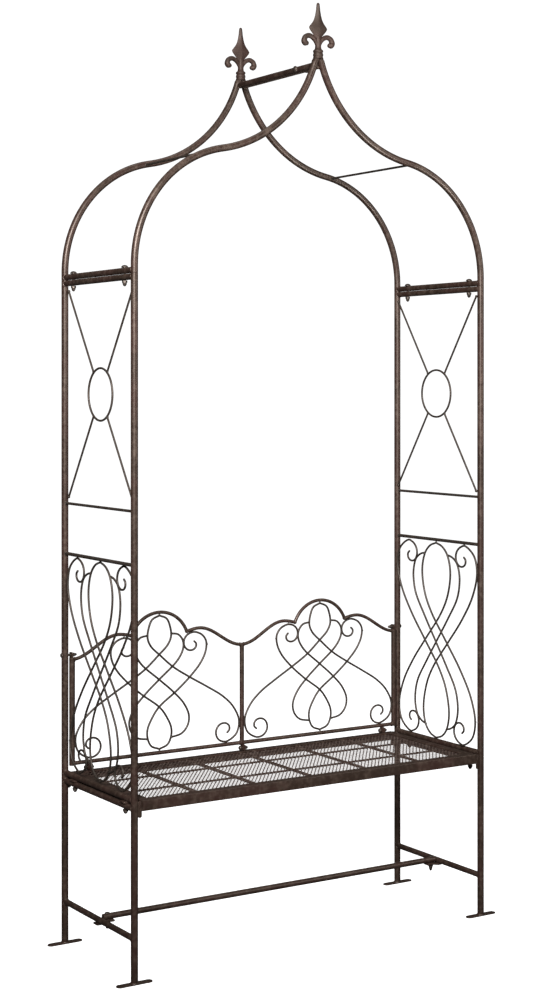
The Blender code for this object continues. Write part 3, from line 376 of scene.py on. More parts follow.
def curl(start, centre, inner):
    """The rolled end of a wire, clockwise from its start.

    Its radius falls off exponentially to the inner radius, and over the last part of the turn it
    hooks in by the square of how far it has gone.
    """
    offset = np.asarray(start) - centre
    extra = np.linalg.norm(offset) / inner - 1
    turned_by = CURL_TURN * np.arange(1, CURL_STEPS + 1) / CURL_STEPS
    r = inner * (1 + extra * np.exp(-turned_by / CURL_SETTLE))
    hook = np.maximum(0, 1 - (CURL_TURN - turned_by) / CURL_HOOK)
    r = r * (1 - 0.5 * hook ** 2)
    a = math.atan2(offset[1], offset[0]) - turned_by
    return centre + r[:, None] * np.stack((np.cos(a), np.sin(a)), -1)


# ---- paint
def node_group(name, inputs, outputs):
    """An empty shader node group with named sockets."""
    group = bpy.data.node_groups.new(name, "ShaderNodeTree")
    for label, kind, value in inputs:
        socket = group.interface.new_socket(name=label, in_out="INPUT", socket_type=kind)
        if value is not None:
            socket.default_value = value
    for label, kind in outputs:
        group.interface.new_socket(name=label, in_out="OUTPUT", socket_type=kind)
    return group, group.nodes.new("NodeGroupInput"), group.nodes.new("NodeGroupOutput")


def feed(tree, node, inputs):
    """Each named or numbered input of a node set to a number or colour, or linked to a socket."""
    for label, value in inputs.items():
        if isinstance(label, int):
            socket = node.inputs[label]
        else:
            socket = next(s for s in node.inputs if s.name == label and s.enabled)
        if isinstance(value, bpy.types.NodeSocket):
            tree.links.new(value, socket)
        else:
            socket.default_value = value


def new_node(tree, kind, inputs, **settings):
    """A node with its settings and inputs; returns its first live output."""
    node = tree.nodes.new(kind)
    for label, value in settings.items():
        setattr(node, label, value)
    feed(tree, node, inputs)
    return next(s for s in node.outputs if s.enabled)


def noise(tree, vector, scale, detail, roughness=0.6):
    """A noise texture on the given coordinates."""
    return new_node(tree, "ShaderNodeTexNoise", {
        "Vector": vector, "Scale": scale, "Detail": detail, "Roughness": roughness})


def remap(tree, value, low, high, to_high=1.0):
    """Values from low to high stretched smoothly over zero to to_high."""
    return new_node(tree, "ShaderNodeMapRange", {
        "Value": value, "From Min": low, "From Max": high, "To Min": 0.0, "To Max": to_high},
        interpolation_type="SMOOTHSTEP")


def arithmetic(tree, operation, first, second):
    """One sum of two values, each a socket or a number."""
    return new_node(tree, "ShaderNodeMath", {0: first, 1: second}, operation=operation)


def weighted(tree, first, second, share):
    """The first value times a share, plus the second times the rest."""
    return arithmetic(tree, "ADD", arithmetic(tree, "MULTIPLY", first, share),
                      arithmetic(tree, "MULTIPLY", second, 1 - share))


def mix_colour(tree, factor, first, second):
    """A colour between two others."""
    return new_node(tree, "ShaderNodeMix", {"Factor": factor, "A": first, "B": second}, data_type="RGBA")


def scaled(tree, vector, factors):
    """Coordinates stretched by three factors."""
    return new_node(tree, "ShaderNodeMapping", {"Vector": vector, "Scale": factors})


def bronze_paint_group():
    """Old bronze paint: dark ground, reddish patches, rubbed grey-brown bloom and a fine orange peel."""
    group, given, made = node_group(
        PAINT_GROUP,
        (("Vector", "NodeSocketVector", None), ("Ground", "NodeSocketColor", None),
         ("Warm", "NodeSocketColor", None), ("Bloom", "NodeSocketColor", None),
         ("Warmth", "NodeSocketFloat", 0.5), ("Rubbing", "NodeSocketFloat", 0.5),
         ("Gloss", "NodeSocketFloat", 0.5)),
        (("Colour", "NodeSocketColor"), ("Roughness", "NodeSocketFloat"), ("Height", "NodeSocketFloat")))
    place = given.outputs["Vector"]
    patches = remap(group, noise(group, place, 9.0, 3.0), 0.42, 0.62)
    mottle = noise(group, place, 95.0, 5.0, 0.65)
    streaks = noise(group, scaled(group, place, (55.0, 55.0, 7.0)), 1.0, 4.0)
    peel = noise(group, place, 420.0, 2.0)
    warm = arithmetic(group, "MULTIPLY", patches, given.outputs["Warmth"])
    colour = mix_colour(group, warm, given.outputs["Ground"], given.outputs["Warm"])
    # Tops are rubbed more than sides, and a piece may carry extra bloom of its own, which is painted light.
    facing = group.nodes.new("ShaderNodeNewGeometry")
    apart = group.nodes.new("ShaderNodeSeparateXYZ")
    feed(group, apart, {0: facing.outputs["Normal"]})
    upward = remap(group, apart.outputs["Z"], 0.2, 1.0, 0.35)
    rubbed = remap(group, weighted(group, mottle, streaks, 0.55), 0.44, 0.66)
    bloom = arithmetic(group, "MULTIPLY", arithmetic(group, "ADD", rubbed, upward), given.outputs["Rubbing"])
    # A point attribute adds extra bloom to a piece: painted light, for a piece meant to look lit from below.
    painted_light_node = group.nodes.new("ShaderNodeAttribute")
    painted_light_node.attribute_name = "painted_light"
    bloom = arithmetic(group, "ADD", bloom, painted_light_node.outputs["Fac"])
    colour = mix_colour(group, arithmetic(group, "MINIMUM", bloom, 1.0), colour, given.outputs["Bloom"])
    uneven = arithmetic(group, "MULTIPLY", arithmetic(group, "SUBTRACT", mottle, 0.5), 0.35)
    roughness = arithmetic(group, "ADD", given.outputs["Gloss"], uneven)
    height = weighted(group, mottle, peel, 0.6)
    feed(group, made, {"Colour": colour, "Roughness": roughness, "Height": height})
    return group


def bronze_paint(name, ground, warm, bloom, warmth, rubbing, roughness, bump):
    """A painted metal: the shared paint group feeds one Principled shader."""
    material = bpy.data.materials.new(name)
    material.use_nodes = True
    tree = material.node_tree
    coordinates = tree.nodes.new("ShaderNodeTexCoord")
    paint = tree.nodes.new("ShaderNodeGroup")
    paint.node_tree = bpy.data.node_groups.get(PAINT_GROUP) or bronze_paint_group()
    feed(tree, paint, {
        "Vector": coordinates.outputs["Object"], "Ground": (*ground[:3], 1.0), "Warm": (*warm[:3], 1.0),
        "Bloom": (*bloom[:3], 1.0), "Warmth": warmth, "Rubbing": rubbing, "Gloss": roughness})
    height = new_node(tree, "ShaderNodeBump", {
        "Strength": 0.5, "Distance": bump, "Height": paint.outputs["Height"]})
    feed(tree, tree.nodes["Principled BSDF"], {
        "Base Color": paint.outputs["Colour"], "Roughness": paint.outputs["Roughness"], "Normal": height,
        "Specular IOR Level": PAINT_SPECULAR, "Specular Tint": PAINT_TINT})
    return material


def paint_for(slot):
    """The paint of one slot, made on first use from the finish settings.

    Each row holds the colours of the ground, patches and bloom, then the strength of the patches,
    the rubbing, the roughness and the depth of the bumps in metres.
    """
    look = bpy.context.scene.arch_finish
    rows = {
        "tube_paint": (look.ground, look.warm, look.bloom, 0.75, look.rubbing, look.roughness, 0.00025),
        "wire_paint": (look.wire, look.ground, look.bloom, 0.4, look.rubbing * 0.5, 0.5, 0.00012),
        # The mesh's bloom is partly rubbed paint and partly a painted reflection of light off the strands'
        # flat faces.
        "mesh_paint": (look.warm, look.ground, look.mesh_bloom_and_sheen, 0.3, 0.9, 0.45, 0.00008),
        "bolt_paint": (look.wire, look.ground, look.bloom, 0.5, look.rubbing * 0.4, 0.42, 0.0001),
        "casting_paint": (look.ground, look.warm, look.bloom, 0.95, look.rubbing * 0.25, 0.6, 0.0006)}
    name = "finished_" + slot
    return bpy.data.materials.get(name) or bronze_paint(name, *rows[slot])


def make_piece(node, shells, slot, sharp=35.0, painted_light=0.0):
    """One finished piece from its shells, standing for the CAD node of the same name.

    Edges sharper than the given angle in degrees stay crisp, and the last argument paints extra bloom all
    over it: painted light.
    """
    points, faces = [], []
    count = 0
    for verts, quads, tris in shells:
        points.append(verts)
        faces.extend((quads + count).tolist())
        faces.extend((tris + count).tolist())
        count += len(verts)
    mesh = bpy.data.meshes.new("finished_" + node)
    mesh.from_pydata(np.vstack(points).tolist(), [], faces)
    if painted_light:
        mesh.attributes.new("painted_light", "FLOAT", "POINT").data.foreach_set("value", np.full(count, painted_light))
    mesh.materials.append(paint_for(slot))
    mesh.shade_smooth()
    mesh.set_sharp_from_angle(angle=math.radians(sharp))
    piece = bpy.data.objects.new("finished_" + node, mesh)
    bpy.context.scene.collection.objects.link(piece)
    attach(piece, "root")
    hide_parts(node)
    return piece


# ---- legs, posts and rails
def leg_shells(x, y, bead):
    """A leg tube welded to a flat foot plate with half-round ends."""
    low, high = span("leg_back_right")
    length, width = high[0] - low[0], high[1] - low[1]
    foot = rounded_rectangle(length, width, width / 2 - 0.0001, 10) + np.array((x, y))
    tube = straight((x, y, FOOT_TOP_Z - 0.001), (x, y, high[2]), POST_R, stations=6)
    return [plate(foot, 0.0, FOOT_TOP_Z, "z", 0.0007), tube,
            weld_ring((x, y, FOOT_TOP_Z), Z_AXIS, POST_R, bead * 1.2)]


def rail_shells(x, z, radius, bead, sides=28, reach=HALF_Y, post_axis=Z_AXIS):
    """A straight rail let into the front and back tubes, with a weld bead at each."""
    shells = [straight((x, -reach, z), (x, reach, z), radius, sides=sides, stations=5)]
    for sy in (-1, 1):
        root = (x, sy * HALF_Y, z)
        shells.append(weld_ring(root, -sy * Y_AXIS, radius, bead, POST_R, post_axis))
    return shells


def stretcher_tab(sx):
    """The cranked tab under a low rail: a flat strip with a long bend and a rounded tail."""
    high = span("leg_cross_rail_right")[1]
    thick, wide = 0.005, 0.020
    under_rail = high[2] - RAIL_R - RAIL_R - thick / 2 + 0.0006
    under_stretcher = span("stretcher")[0][2] - thick / 2 - 0.0003
    inner, outer = HALF_X - 0.040, high[0] - 0.001
    bend = HALF_X - RAIL_R - 0.006
    keys = ((inner, under_stretcher), (bend - 0.010, under_stretcher),
            (bend, (under_stretcher + under_rail) / 2), (bend + 0.009, under_rail),
            (outer - 0.004, under_rail), (outer, under_rail + 0.0006))
    line = smooth_line(keys, 8)
    path = np.stack((sx * line[:, 0], np.zeros(len(line)), line[:, 1]), -1)
    section = rounded_rectangle(thick, wide, 0.0008)
    return carry(path, 1.0, Y_AXIS, section=section, ends=("flat", "flat"))


# ---- scrolls
class ScrollShape:
    """Half-width, half-height and place of one scroll; place puts its own plane into the object."""

    def __init__(self, wide, tall, place):
        self.wide = wide
        self.tall = tall
        self.place = place

    def keys(self, shares):
        """Key points given as shares of the half-width and half-height."""
        return np.array(shares) * (self.wide, self.tall)

    def looped(self, shares, corner, radius):
        """A wire that loops at its middle, crosses itself and curls at both ends.

        One arm is drawn and the other is its mirror image. The arms part to two layers with an S
        curve in the distance from the loop, which ends at the fifth key point.
        """
        keys = self.keys(shares)
        keys = np.vstack((keys, curl(keys[-1], np.array(corner), radius)[1::2]))
        arm = smooth_line(keys, 6)
        rise = np.linalg.norm(keys[4] - keys[0])
        climb = np.minimum(np.linalg.norm(arm - keys[0], axis=1) / rise, 1)
        offset = SCROLL_LAYER * climb ** 2 * (3 - 2 * climb)
        line = np.vstack((arm[::-1], arm[1:] * (-1, 1)))
        offset = np.concatenate((offset[::-1], -offset[1:]))
        return self.place(line[:, 0], line[:, 1], offset)

    def plain(self, shares, sx):
        """A wire that only bends; sx of minus one gives its mirror image on the other layer."""
        line = smooth_line(self.keys(shares), 8)
        return self.place(sx * line[:, 0], line[:, 1], sx * SCROLL_LAYER * np.ones(len(line)))

    def wires(self, looped, bent, normal, sides):
        """Round wires along two looped paths, and along a bent one and its mirror image.

        Each looped wire has a dab of weld where it reaches furthest along each axis, either way.
        """
        paths = looped + [self.plain(bent, 1), self.plain(bent, -1)]
        shells = [carry(path, WIRE_R, normal, sides=sides) for path in paths]
        for path in looped:
            for axis in np.flatnonzero(normal == 0):
                for index, way in ((path[:, axis].argmax(), 1), (path[:, axis].argmin(), -1)):
                    point = path[index].copy()
                    point[axis] += way * (WIRE_R * 0.6)
                    shells.append(weld_dab(point, WIRE_R * 0.95))
        return shells


def side_scroll_shells(sx, sides):
    """The tall scroll of a side panel: two looped wires and two bent ones between them."""
    bar = middle("panel_scroll_bar_right")[2] - half_size("panel_scroll_bar_right", 2)
    wide = HALF_Y - POST_R - SIDE_SCROLL_GAP - WIRE_R
    top = bar - SIDE_SCROLL_GAP - WIRE_R
    bottom = PANEL_BOTTOM_Z + RAIL_R + SIDE_SCROLL_GAP + WIRE_R
    centre, tall = (top + bottom) / 2, (top - bottom) / 2

    def place(p, q, offset):
        return np.stack((sx * SCROLL_X + offset, p, centre + q), -1)

    shape = ScrollShape(wide, tall, place)
    arm = [(0.0, 1.0), (-0.155, 0.966), (-0.278, 0.885), (-0.344, 0.72), (-0.273, 0.478), (-0.1, 0.281),
           (0.273, 0.009), (0.631, -0.253), (0.892, -0.506), (0.998, -0.738), (0.93, -0.905), (0.703, -1.0)]
    bent = [(-0.285, 0.885), (-0.385, 0.868), (-0.5, 0.815), (-0.562, 0.715), (-0.567, 0.6),
            (-0.507, 0.455), (-0.273, 0.234), (0.0, 0.0)]
    bent = bent + [(-p, -q) for p, q in reversed(bent[:-1])]
    end = shape.keys(arm)[-1]
    corner = (end[0] - 0.0155, end[1] + 0.034)
    upper = shape.looped(arm, corner, WIDE_CURL_R)
    lower = shape.looped([(-p, -q) for p, q in arm], (-corner[0], -corner[1]), WIDE_CURL_R)
    return shape.wires([upper, lower], bent, X_AXIS, sides)


def ring_and_cross_shells(sx):
    """A wire ring held by four rods that run to the corners of the upper panel."""
    x = sx * SCROLL_X
    bar_top = middle("panel_mid_bar_right")[2] + half_size("panel_mid_bar_right", 2)
    top = PANEL_TOP_Z - RAIL_R
    centre = (bar_top + top) / 2
    radius, stations = 0.064, 96
    a = angles(stations)
    ring = np.stack((np.full(stations, x), radius * np.cos(a), centre + radius * np.sin(a)), -1)
    shells = [carry(ring, WIRE_R, X_AXIS, closed=True)]
    post_gap, below_rail = 0.0009, 0.013
    reach = np.array((HALF_Y - POST_R - post_gap - WIRE_R, top - below_rail - centre))
    for sy in (-1, 1):
        for sz in (-1, 1):
            way = unit(np.array((0, sy * reach[0], sz * reach[1])))
            root = np.array((x, 0, centre)) + way * (radius + 0.0005)
            tip = np.array((x, 0, centre)) + way * (np.linalg.norm(reach) + 0.004)
            shells.append(straight(root, tip, WIRE_R * 0.96, sides=16))
            shells.append(weld_dab(root + way * WIRE_R * 0.6, WIRE_R * 1.2))
            shells.append(weld_dab(tip - way * 0.003, WIRE_R * 1.35))
    return shells


# ---- arch
def arch_line():
    """Centre line of the right half of the arch: a short upright, an outward arc and an ogee arc."""
    start = np.array((HALF_X, ARCH_JOINT_Z + 0.0003))
    turn_z = ARCH_JOINT_Z + 0.00015 + 0.0203
    a = np.linspace(0, SHOULDER_SWEEP, 40)
    first = np.stack((HALF_X - SHOULDER_R + SHOULDER_R * np.cos(a), turn_z + SHOULDER_R * np.sin(a)), -1)
    ogee = (first[-1, 0] - APEX_X) / (math.cos(APEX_LEAN) - math.cos(SHOULDER_SWEEP))
    a = np.linspace(SHOULDER_SWEEP, APEX_LEAN, 40)[1:]
    turn = np.stack((math.cos(SHOULDER_SWEEP) - np.cos(a), math.sin(SHOULDER_SWEEP) - np.sin(a)), -1)
    second = first[-1] + ogee * turn
    beyond = second[-1] + 0.006 * np.array((-math.sin(APEX_LEAN), math.cos(APEX_LEAN)))
    return np.vstack((start, first, second, beyond))


def arch_tube_shells(sx, sy):
    """One bent half of an arch, pressed flat against its twin and cut level at the top."""
    line = arch_line()
    path = np.stack((sx * line[:, 0], np.full(len(line), sy * HALF_Y), line[:, 1]), -1)
    points, quads, tris = carry(path, POST_R, Y_AXIS, sides=32, ends=("flat", "flat"))
    points[:, 0] = sx * np.maximum(sx * points[:, 0], 0.0001)
    points[:, 2] = np.minimum(points[:, 2], APEX_Z)
    return [(points, quads, tris)]


def tie_rod_shells(side, sx, bead):
    """A thin rod across the arch, welded where the tubes slope."""
    tie = middle("arch_tie_rod_" + side)
    line = arch_line()
    near = np.abs(line[:, 0] - abs(tie[0])).argmin()
    slope = unit(line[near + 1] - line[near - 1])
    slope = np.array((sx * slope[0], 0, slope[1]))
    radius = half_size("arch_tie_rod_" + side, 2)
    return rail_shells(tie[0], tie[2], radius, bead * 0.8, 16, post_axis=slope)


def finial_blade(base, height):
    """A spearhead: a rhombic section whose width and thickness follow the height.

    Each section is a superellipse of power 1.25, so it has a ridge down each face and sharp sides.
    """
    stations, sides, power = 44, 40, 2 / 1.25
    levels = np.array((0.343, 0.403, 0.46, 0.505, 0.547, 0.590, 0.642, 0.701, 0.778, 0.865, 0.945,
                       0.975, 0.993))
    wide = np.array((0.22, 0.42, 0.68, 0.88, 1.0, 0.84, 0.61, 0.44, 0.32, 0.235, 0.19, 0.17, 0.11))
    thick = np.array((0.50, 0.66, 0.84, 0.95, 1.0, 0.97, 0.88, 0.78, 0.70, 0.64, 0.58, 0.50, 0.32))
    fine = np.linspace(levels[0], levels[-1], stations)
    wide = np.interp(fine, levels, wide * BLADE_HALF_WIDTH)[:, None]
    thick = np.interp(fine, levels, thick * BLADE_HALF_THICKNESS)[:, None]
    section = circle(sides)
    section = np.sign(section) * np.abs(section) ** power
    height_of = np.broadcast_to(fine[:, None] * height, (stations, sides))
    rings = np.stack((wide * section[:, 0], thick * section[:, 1], height_of), -1) + base
    return skin(rings, rings[0].mean(0), base + np.array((0, 0, height)))


def finial_shells(end, sy):
    """A cast finial: stepped collar, two curled leaves with round tips, and a spearhead."""
    low, high = span("finial_" + end)
    height = high[2] - low[2]
    base = np.array((0.0, sy * HALF_Y, low[2]))
    levels = np.array((0.0, 0.02, 0.042, 0.048, 0.056, 0.086, 0.096, 0.105, 0.112, 0.120, 0.135, 0.152,
                       0.165, 0.178, 0.21, 0.26, 0.33, 0.40))
    radii = np.array((0.0138, 0.0130, 0.0118, 0.0122, 0.0129, 0.0129, 0.0122, 0.0113, 0.0113, 0.0124,
                      0.0131, 0.0127, 0.0104, 0.0086, 0.0078, 0.0077, 0.0080, 0.0060))
    shells = [turned(base, Z_AXIS, levels * height, radii), finial_blade(base, height)]
    leaf = np.array(((0.04, 0.20), (0.13, 0.284), (0.30, 0.360), (0.55, 0.400), (0.73, 0.388),
                     (0.86, 0.350), (0.895, 0.300), (0.83, 0.268), (0.75, 0.262)))
    sizes = np.array((0.60, 0.75, 0.92, 1.0, 1.02, 1.08, 1.2, 1.26, 1.0)) * LEAF_R
    fine = smooth_line(leaf, 8)
    swell = smooth_line(sizes[:, None] * np.ones(2), 8)[:, 0]
    for sx in (-1, 1):
        path = base + np.stack((sx * LEAF_REACH * fine[:, 0], np.zeros(len(fine)), height * fine[:, 1]), -1)
        shells.append(carry(path, swell, Y_AXIS, sides=20))
    return shells


# ---- bolts
def bolt_shells(node, axis, way, head_radius, head_height, dome, nut_radius):
    """A domed bolt and its cap nut; the head points along way times the axis.

    The head is a quarter of an ellipse, the nut has six flats with turned corners, and its cap is
    a quarter of an ellipse drawn out to the given height.
    """
    low, high = span(node)
    top = (low + high) / 2
    top[axis] = high[axis] if way > 0 else low[axis]
    direction = np.zeros(3)
    direction[axis] = -way
    under_head = head_height + 0.0003
    nut = high[axis] - low[axis] - dome - NUT_HEIGHT
    nut_end = nut + NUT_HEIGHT
    a = np.linspace(0.08, np.pi / 2, 9)
    b = np.linspace(0.15, np.pi / 2 - 0.08, 9)
    heights = [*(head_height * (1 - np.cos(a))), under_head, under_head, nut, nut, nut + 0.0006,
               nut_end - 0.0008, nut_end, nut_end, *(nut_end + dome * np.sin(b))]
    radii = [*(head_radius * np.sin(a)), head_radius * 0.96, SHANK_R, SHANK_R, nut_radius * 0.9, nut_radius,
             nut_radius, nut_radius * 0.92, nut_radius * 0.80, *(nut_radius * 0.80 * np.cos(b))]
    hexagon = np.array(radii) == nut_radius
    return [turned(top, direction, heights, radii, sides=36, hexagon=hexagon)]


def make_bolt(kind, place, axis, way):
    """One finished bolt of a kind, at a named place."""
    node = kind + "_bolt" + place
    make_piece(node, bolt_shells(node, axis, way, *BOLTS[kind]), "bolt_paint")


# ---- seat
def rim_shell():
    """The seat's rim: an angle section with a rounded heel and toes, mitred round four corners."""
    leg, thick, heel = 0.025, 0.003, 0.0014
    a = np.linspace(0, np.pi / 2, 5)[::-1]
    out = np.concatenate(([0.0], heel * (1 - np.sin(a)), [leg - 0.0006, leg, leg, leg - 0.0004],
                          [thick + 0.001, thick + 0.0003, thick], [thick, thick - 0.0008, 0.0008]))
    up = np.concatenate(([-leg + 0.0008], -heel * (1 - np.cos(a)), [0.0, -0.0006, -thick + 0.0006, -thick],
                         [-thick, -thick - 0.0003, -thick - 0.001], [-leg + 0.0005, -leg, -leg]))
    rings = [np.stack((sx * (SEAT_X - out), sy * (SEAT_Y - out), SEAT_TOP_Z + up), -1)
             for sx, sy in ((1, -1), (1, 1), (-1, 1), (-1, -1))]
    return skin(np.array(rings), closed=True)


def seat_ear(node, sx):
    """The flat ear that carries one seat bolt under a side rail."""
    half_width, thick, corner = 0.013, 0.004, 0.003
    y = middle(node)[1]
    x = sorted((sx * (SEAT_X - 0.002), sx * span("seat_frame")[1][0]))
    low = SEAT_JOINT_Z - thick / 2
    return block((x[0], y - half_width, low), (x[1], y + half_width, low + thick), corner)


def corner_lug_shells(sx, sy, bead):
    """The lug between a corner of the seat and a post, and the seam of weld down the post."""
    seam_x = HALF_X - POST_R + 0.0004
    x = sorted((sx * (SEAT_X + 0.0004), sx * (HALF_X - POST_R + 0.0008)))
    y = sorted((sy * (HALF_Y + 0.001), sy * (HALF_Y + 0.005)))
    lug = block((x[0], y[0], SEAT_TOP_Z - 0.040), (x[1], y[1], SEAT_TOP_Z - 0.001), 0.0042, "y")
    z = np.linspace(SEAT_TOP_Z - 0.036, SEAT_TOP_Z - 0.004, 12)
    seam = np.stack((np.full(12, sx * seam_x), np.full(12, sy * (HALF_Y + 0.003)), z), -1)
    return [lug, carry(seam, bead * (1 + 0.15 * np.sin(900 * z)), Y_AXIS, sides=8)]


def seat_frame_shells(bead):
    """Rim, cross bars, long rods, ears under the side rails, corner lugs and the backrest's foot lugs."""
    shells = [rim_shell()]
    inset = SEAT_Y - 0.0015
    bar_top = span("seat_mesh")[0][2] - 0.0003
    bar_wide, bar_thick, rod_radius = 0.012, 0.004, 0.0025
    rod_x, rod_z = SEAT_X - 0.002, bar_top - bar_thick + 0.001
    for y in (-0.065, 0.065):
        shells.append(straight((-rod_x, y, rod_z), (rod_x, y, rod_z), rod_radius, sides=16))
    for k in range(1, 6):
        x = -SEAT_X + 2 * SEAT_X / 6 * k
        low = (x - bar_wide / 2, -inset, bar_top - bar_thick)
        shells.append(block(low, (x + bar_wide / 2, inset, bar_top)))
    for side, sx in SIDES:
        for end, sy in ENDS:
            shells.append(seat_ear("seat_bolt_%s_%s" % (end, side), sx))
            shells += corner_lug_shells(sx, sy, bead)
    for x in backrest_lug_places():
        low = (x + LUG_NEAR, BACKREST_Y - LUG_HALF_WIDTH, SEAT_TOP_Z - 0.001)
        top = BACKREST_BOTTOM_Z - BACKREST_BOTTOM_R - 0.0015
        shells.append(block(low, (x + LUG_FAR, BACKREST_Y + LUG_HALF_WIDTH, top), LUG_CORNER, "x"))
    return shells


def backrest_lug_places():
    """X of the three pairs of lugs that join the backrest to the seat."""
    return [middle("backrest_foot_bolt_" + name)[0] for name in ("left", "middle", "right")]


def mesh_sheet_shell(pitch_x, pitch_y, strand):
    """Expanded metal: a sheet of rhombic cells, each a frame round a rhombic hole.

    Cell middles lie on two interleaved grids. A cell's corners are shared with its neighbours, and
    its hole is the same rhombus drawn smaller by the strand's width over the distance between
    opposite sides. The sheet ripples by the product of two sine waves.
    """
    low, high = span("seat_mesh")
    half = np.array((pitch_x / 2, pitch_y / 2))
    m, n = (np.arange(math.ceil(low[k] / half[k]) + 1, math.floor(high[k] / half[k])) for k in (0, 1))
    m, n = np.meshgrid(m, n, indexing="ij")
    chosen = (m + n) % 2 == 0
    cells = np.stack((m[chosen], n[chosen]), -1)[:, None]
    steps = np.array(((1, 0), (0, 1), (-1, 0), (0, -1)))
    grid = cells + steps
    key = grid[..., 0] * KEY_STRIDE + grid[..., 1]
    _, first, index = np.unique(key.ravel(), return_index=True, return_inverse=True)
    corners = grid.reshape(-1, 2)[first] * half
    spacing = pitch_x * pitch_y / math.hypot(pitch_x, pitch_y)
    holes = (cells + steps * (1 - strand / spacing)) * half
    flat = np.vstack((corners, holes.reshape(-1, 2)))
    outer = index.reshape(-1, 4)
    inner = len(corners) + np.arange(holes.shape[0] * 4).reshape(-1, 4)
    count = len(flat)
    ripple = MESH_RIPPLE * np.sin(60 * flat[:, 0] + 1.0) * np.sin(45 * flat[:, 1])
    top = np.column_stack((flat, high[2] - MESH_INSET + ripple))
    bottom = np.column_stack((flat, low[2] + MESH_INSET + ripple))
    outer_next, inner_next = np.roll(outer, -1, 1), np.roll(inner, -1, 1)
    upper = np.stack((outer, outer_next, inner_next, inner), -1).reshape(-1, 4)
    lower = upper[:, ::-1] + count
    walls = np.stack((inner, inner_next, inner_next + count, inner + count), -1).reshape(-1, 4)
    # An edge that only one cell uses is on the rim, and gets a wall too.
    edges = np.stack((outer, outer_next), -1).reshape(-1, 2)
    pairs = np.sort(edges, 1)
    _, which, uses = np.unique(pairs[:, 0] * count + pairs[:, 1], return_inverse=True, return_counts=True)
    rim = edges[uses[which.ravel()] == 1]
    border = np.stack((rim[:, 1], rim[:, 0], rim[:, 0] + count, rim[:, 1] + count), -1)
    return np.vstack((top, bottom)), np.vstack((upper, lower, walls, border)), np.zeros((0, 3), int)


# ---- backrest
def backrest_top_paths(centre, half):
    """The scalloped top of one half: a crown arc between two cusps, and a falling shoulder each side.

    Each shoulder rises from its cusp as a quarter of a sine wave and falls as half a cosine wave.
    """
    cusp_x, cusp_z = BACKREST_CUSP
    hump_x, hump_z = BACKREST_SHOULDER
    drop = BACKREST_CROWN_Z - cusp_z
    radius = (cusp_x ** 2 + drop ** 2) / (2 * drop)
    x = np.linspace(-cusp_x, cusp_x, 48)
    crown = np.stack((centre + x, BACKREST_CROWN_Z - radius + np.sqrt(radius ** 2 - x ** 2)), -1)
    share = np.linspace(0, 1, 12)
    rise_z = cusp_z + (hump_z - cusp_z) * np.sin(share * np.pi / 2)
    rise = np.stack((cusp_x + (hump_x - cusp_x) * share, rise_z), -1)
    share = np.linspace(0, 1, 30)[1:]
    fall_z = BACKREST_VALLEY_Z + (hump_z - BACKREST_VALLEY_Z) * (1 + np.cos(np.pi * share)) / 2
    fall = np.stack((hump_x + (half - hump_x) * share, fall_z), -1)
    shoulder = np.vstack((rise, fall))
    paths = [crown] + [shoulder * (sx, 1) + (centre, 0) for sx in (-1, 1)]
    return [np.stack((p[:, 0], np.full(len(p), BACKREST_Y), p[:, 1]), -1) for p in paths]


def backrest_end_shells(sx, bead):
    """The upright at one end of the backrest, its two weld beads, and the eye its top bolt passes."""
    x = sx * BACKREST_END_X
    low = BACKREST_BOTTOM_Z - BACKREST_BOTTOM_R
    top = BACKREST_VALLEY_Z + BACKREST_TOP_R * 0.8
    shells = [straight((x, BACKREST_Y, low), (x, BACKREST_Y, top), BACKREST_END_R, sides=28)]
    for z, radius in ((BACKREST_BOTTOM_Z, BACKREST_BOTTOM_R), (BACKREST_VALLEY_Z, BACKREST_TOP_R)):
        shells.append(weld_ring((x, BACKREST_Y, z), -sx * X_AXIS, radius, bead, BACKREST_END_R))
    bolt_z = middle("backrest_top_bolt_right")[2]
    eye_low = (x - 0.002, BACKREST_Y - 0.004, top - 0.003)
    eye_high = (x + 0.002, HALF_Y + 0.0065, bolt_z + 0.0065)
    return shells + [block(eye_low, eye_high, LUG_CORNER, "x")]


def backrest_frame_shells(bead):
    """Backrest frame: bent top, bottom bar, three uprights, foot lugs and the eyes at its upper ends."""
    half = BACKREST_END_X / 2
    shells = []
    for sx in (-1, 1):
        for path in backrest_top_paths(sx * half, half):
            shells.append(carry(path, BACKREST_TOP_R, Y_AXIS, sides=20))
        for way in (-1, 1):
            cusp = (sx * half + way * BACKREST_CUSP[0], BACKREST_Y, BACKREST_CUSP[1])
            shells.append(weld_dab(cusp, BACKREST_TOP_R * 1.12))
    for sx in (-1, 1):
        shells += backrest_end_shells(sx, bead)
    bottom, valley = (0, BACKREST_Y, BACKREST_BOTTOM_Z), (0, BACKREST_Y, BACKREST_VALLEY_Z)
    shells.append(straight(bottom, valley, BACKREST_MID_R, sides=24))
    shells.append(straight((-BACKREST_END_X, *bottom[1:]), (BACKREST_END_X, *bottom[1:]), BACKREST_BOTTOM_R,
                           sides=20, stations=9))
    for sx in (-1, 1):
        for root, radius in ((valley, BACKREST_TOP_R), (bottom, BACKREST_BOTTOM_R)):
            shells.append(weld_ring(root, sx * X_AXIS, radius, bead * 0.9, BACKREST_MID_R))
    for x in backrest_lug_places():
        low = (x - LUG_FAR, BACKREST_Y - LUG_HALF_WIDTH, SEAT_TOP_Z + 0.0018)
        top = BACKREST_BOTTOM_Z - BACKREST_BOTTOM_R * 0.6
        shells.append(block(low, (x - LUG_NEAR, BACKREST_Y + LUG_HALF_WIDTH, top), LUG_CORNER, "x"))
    return shells


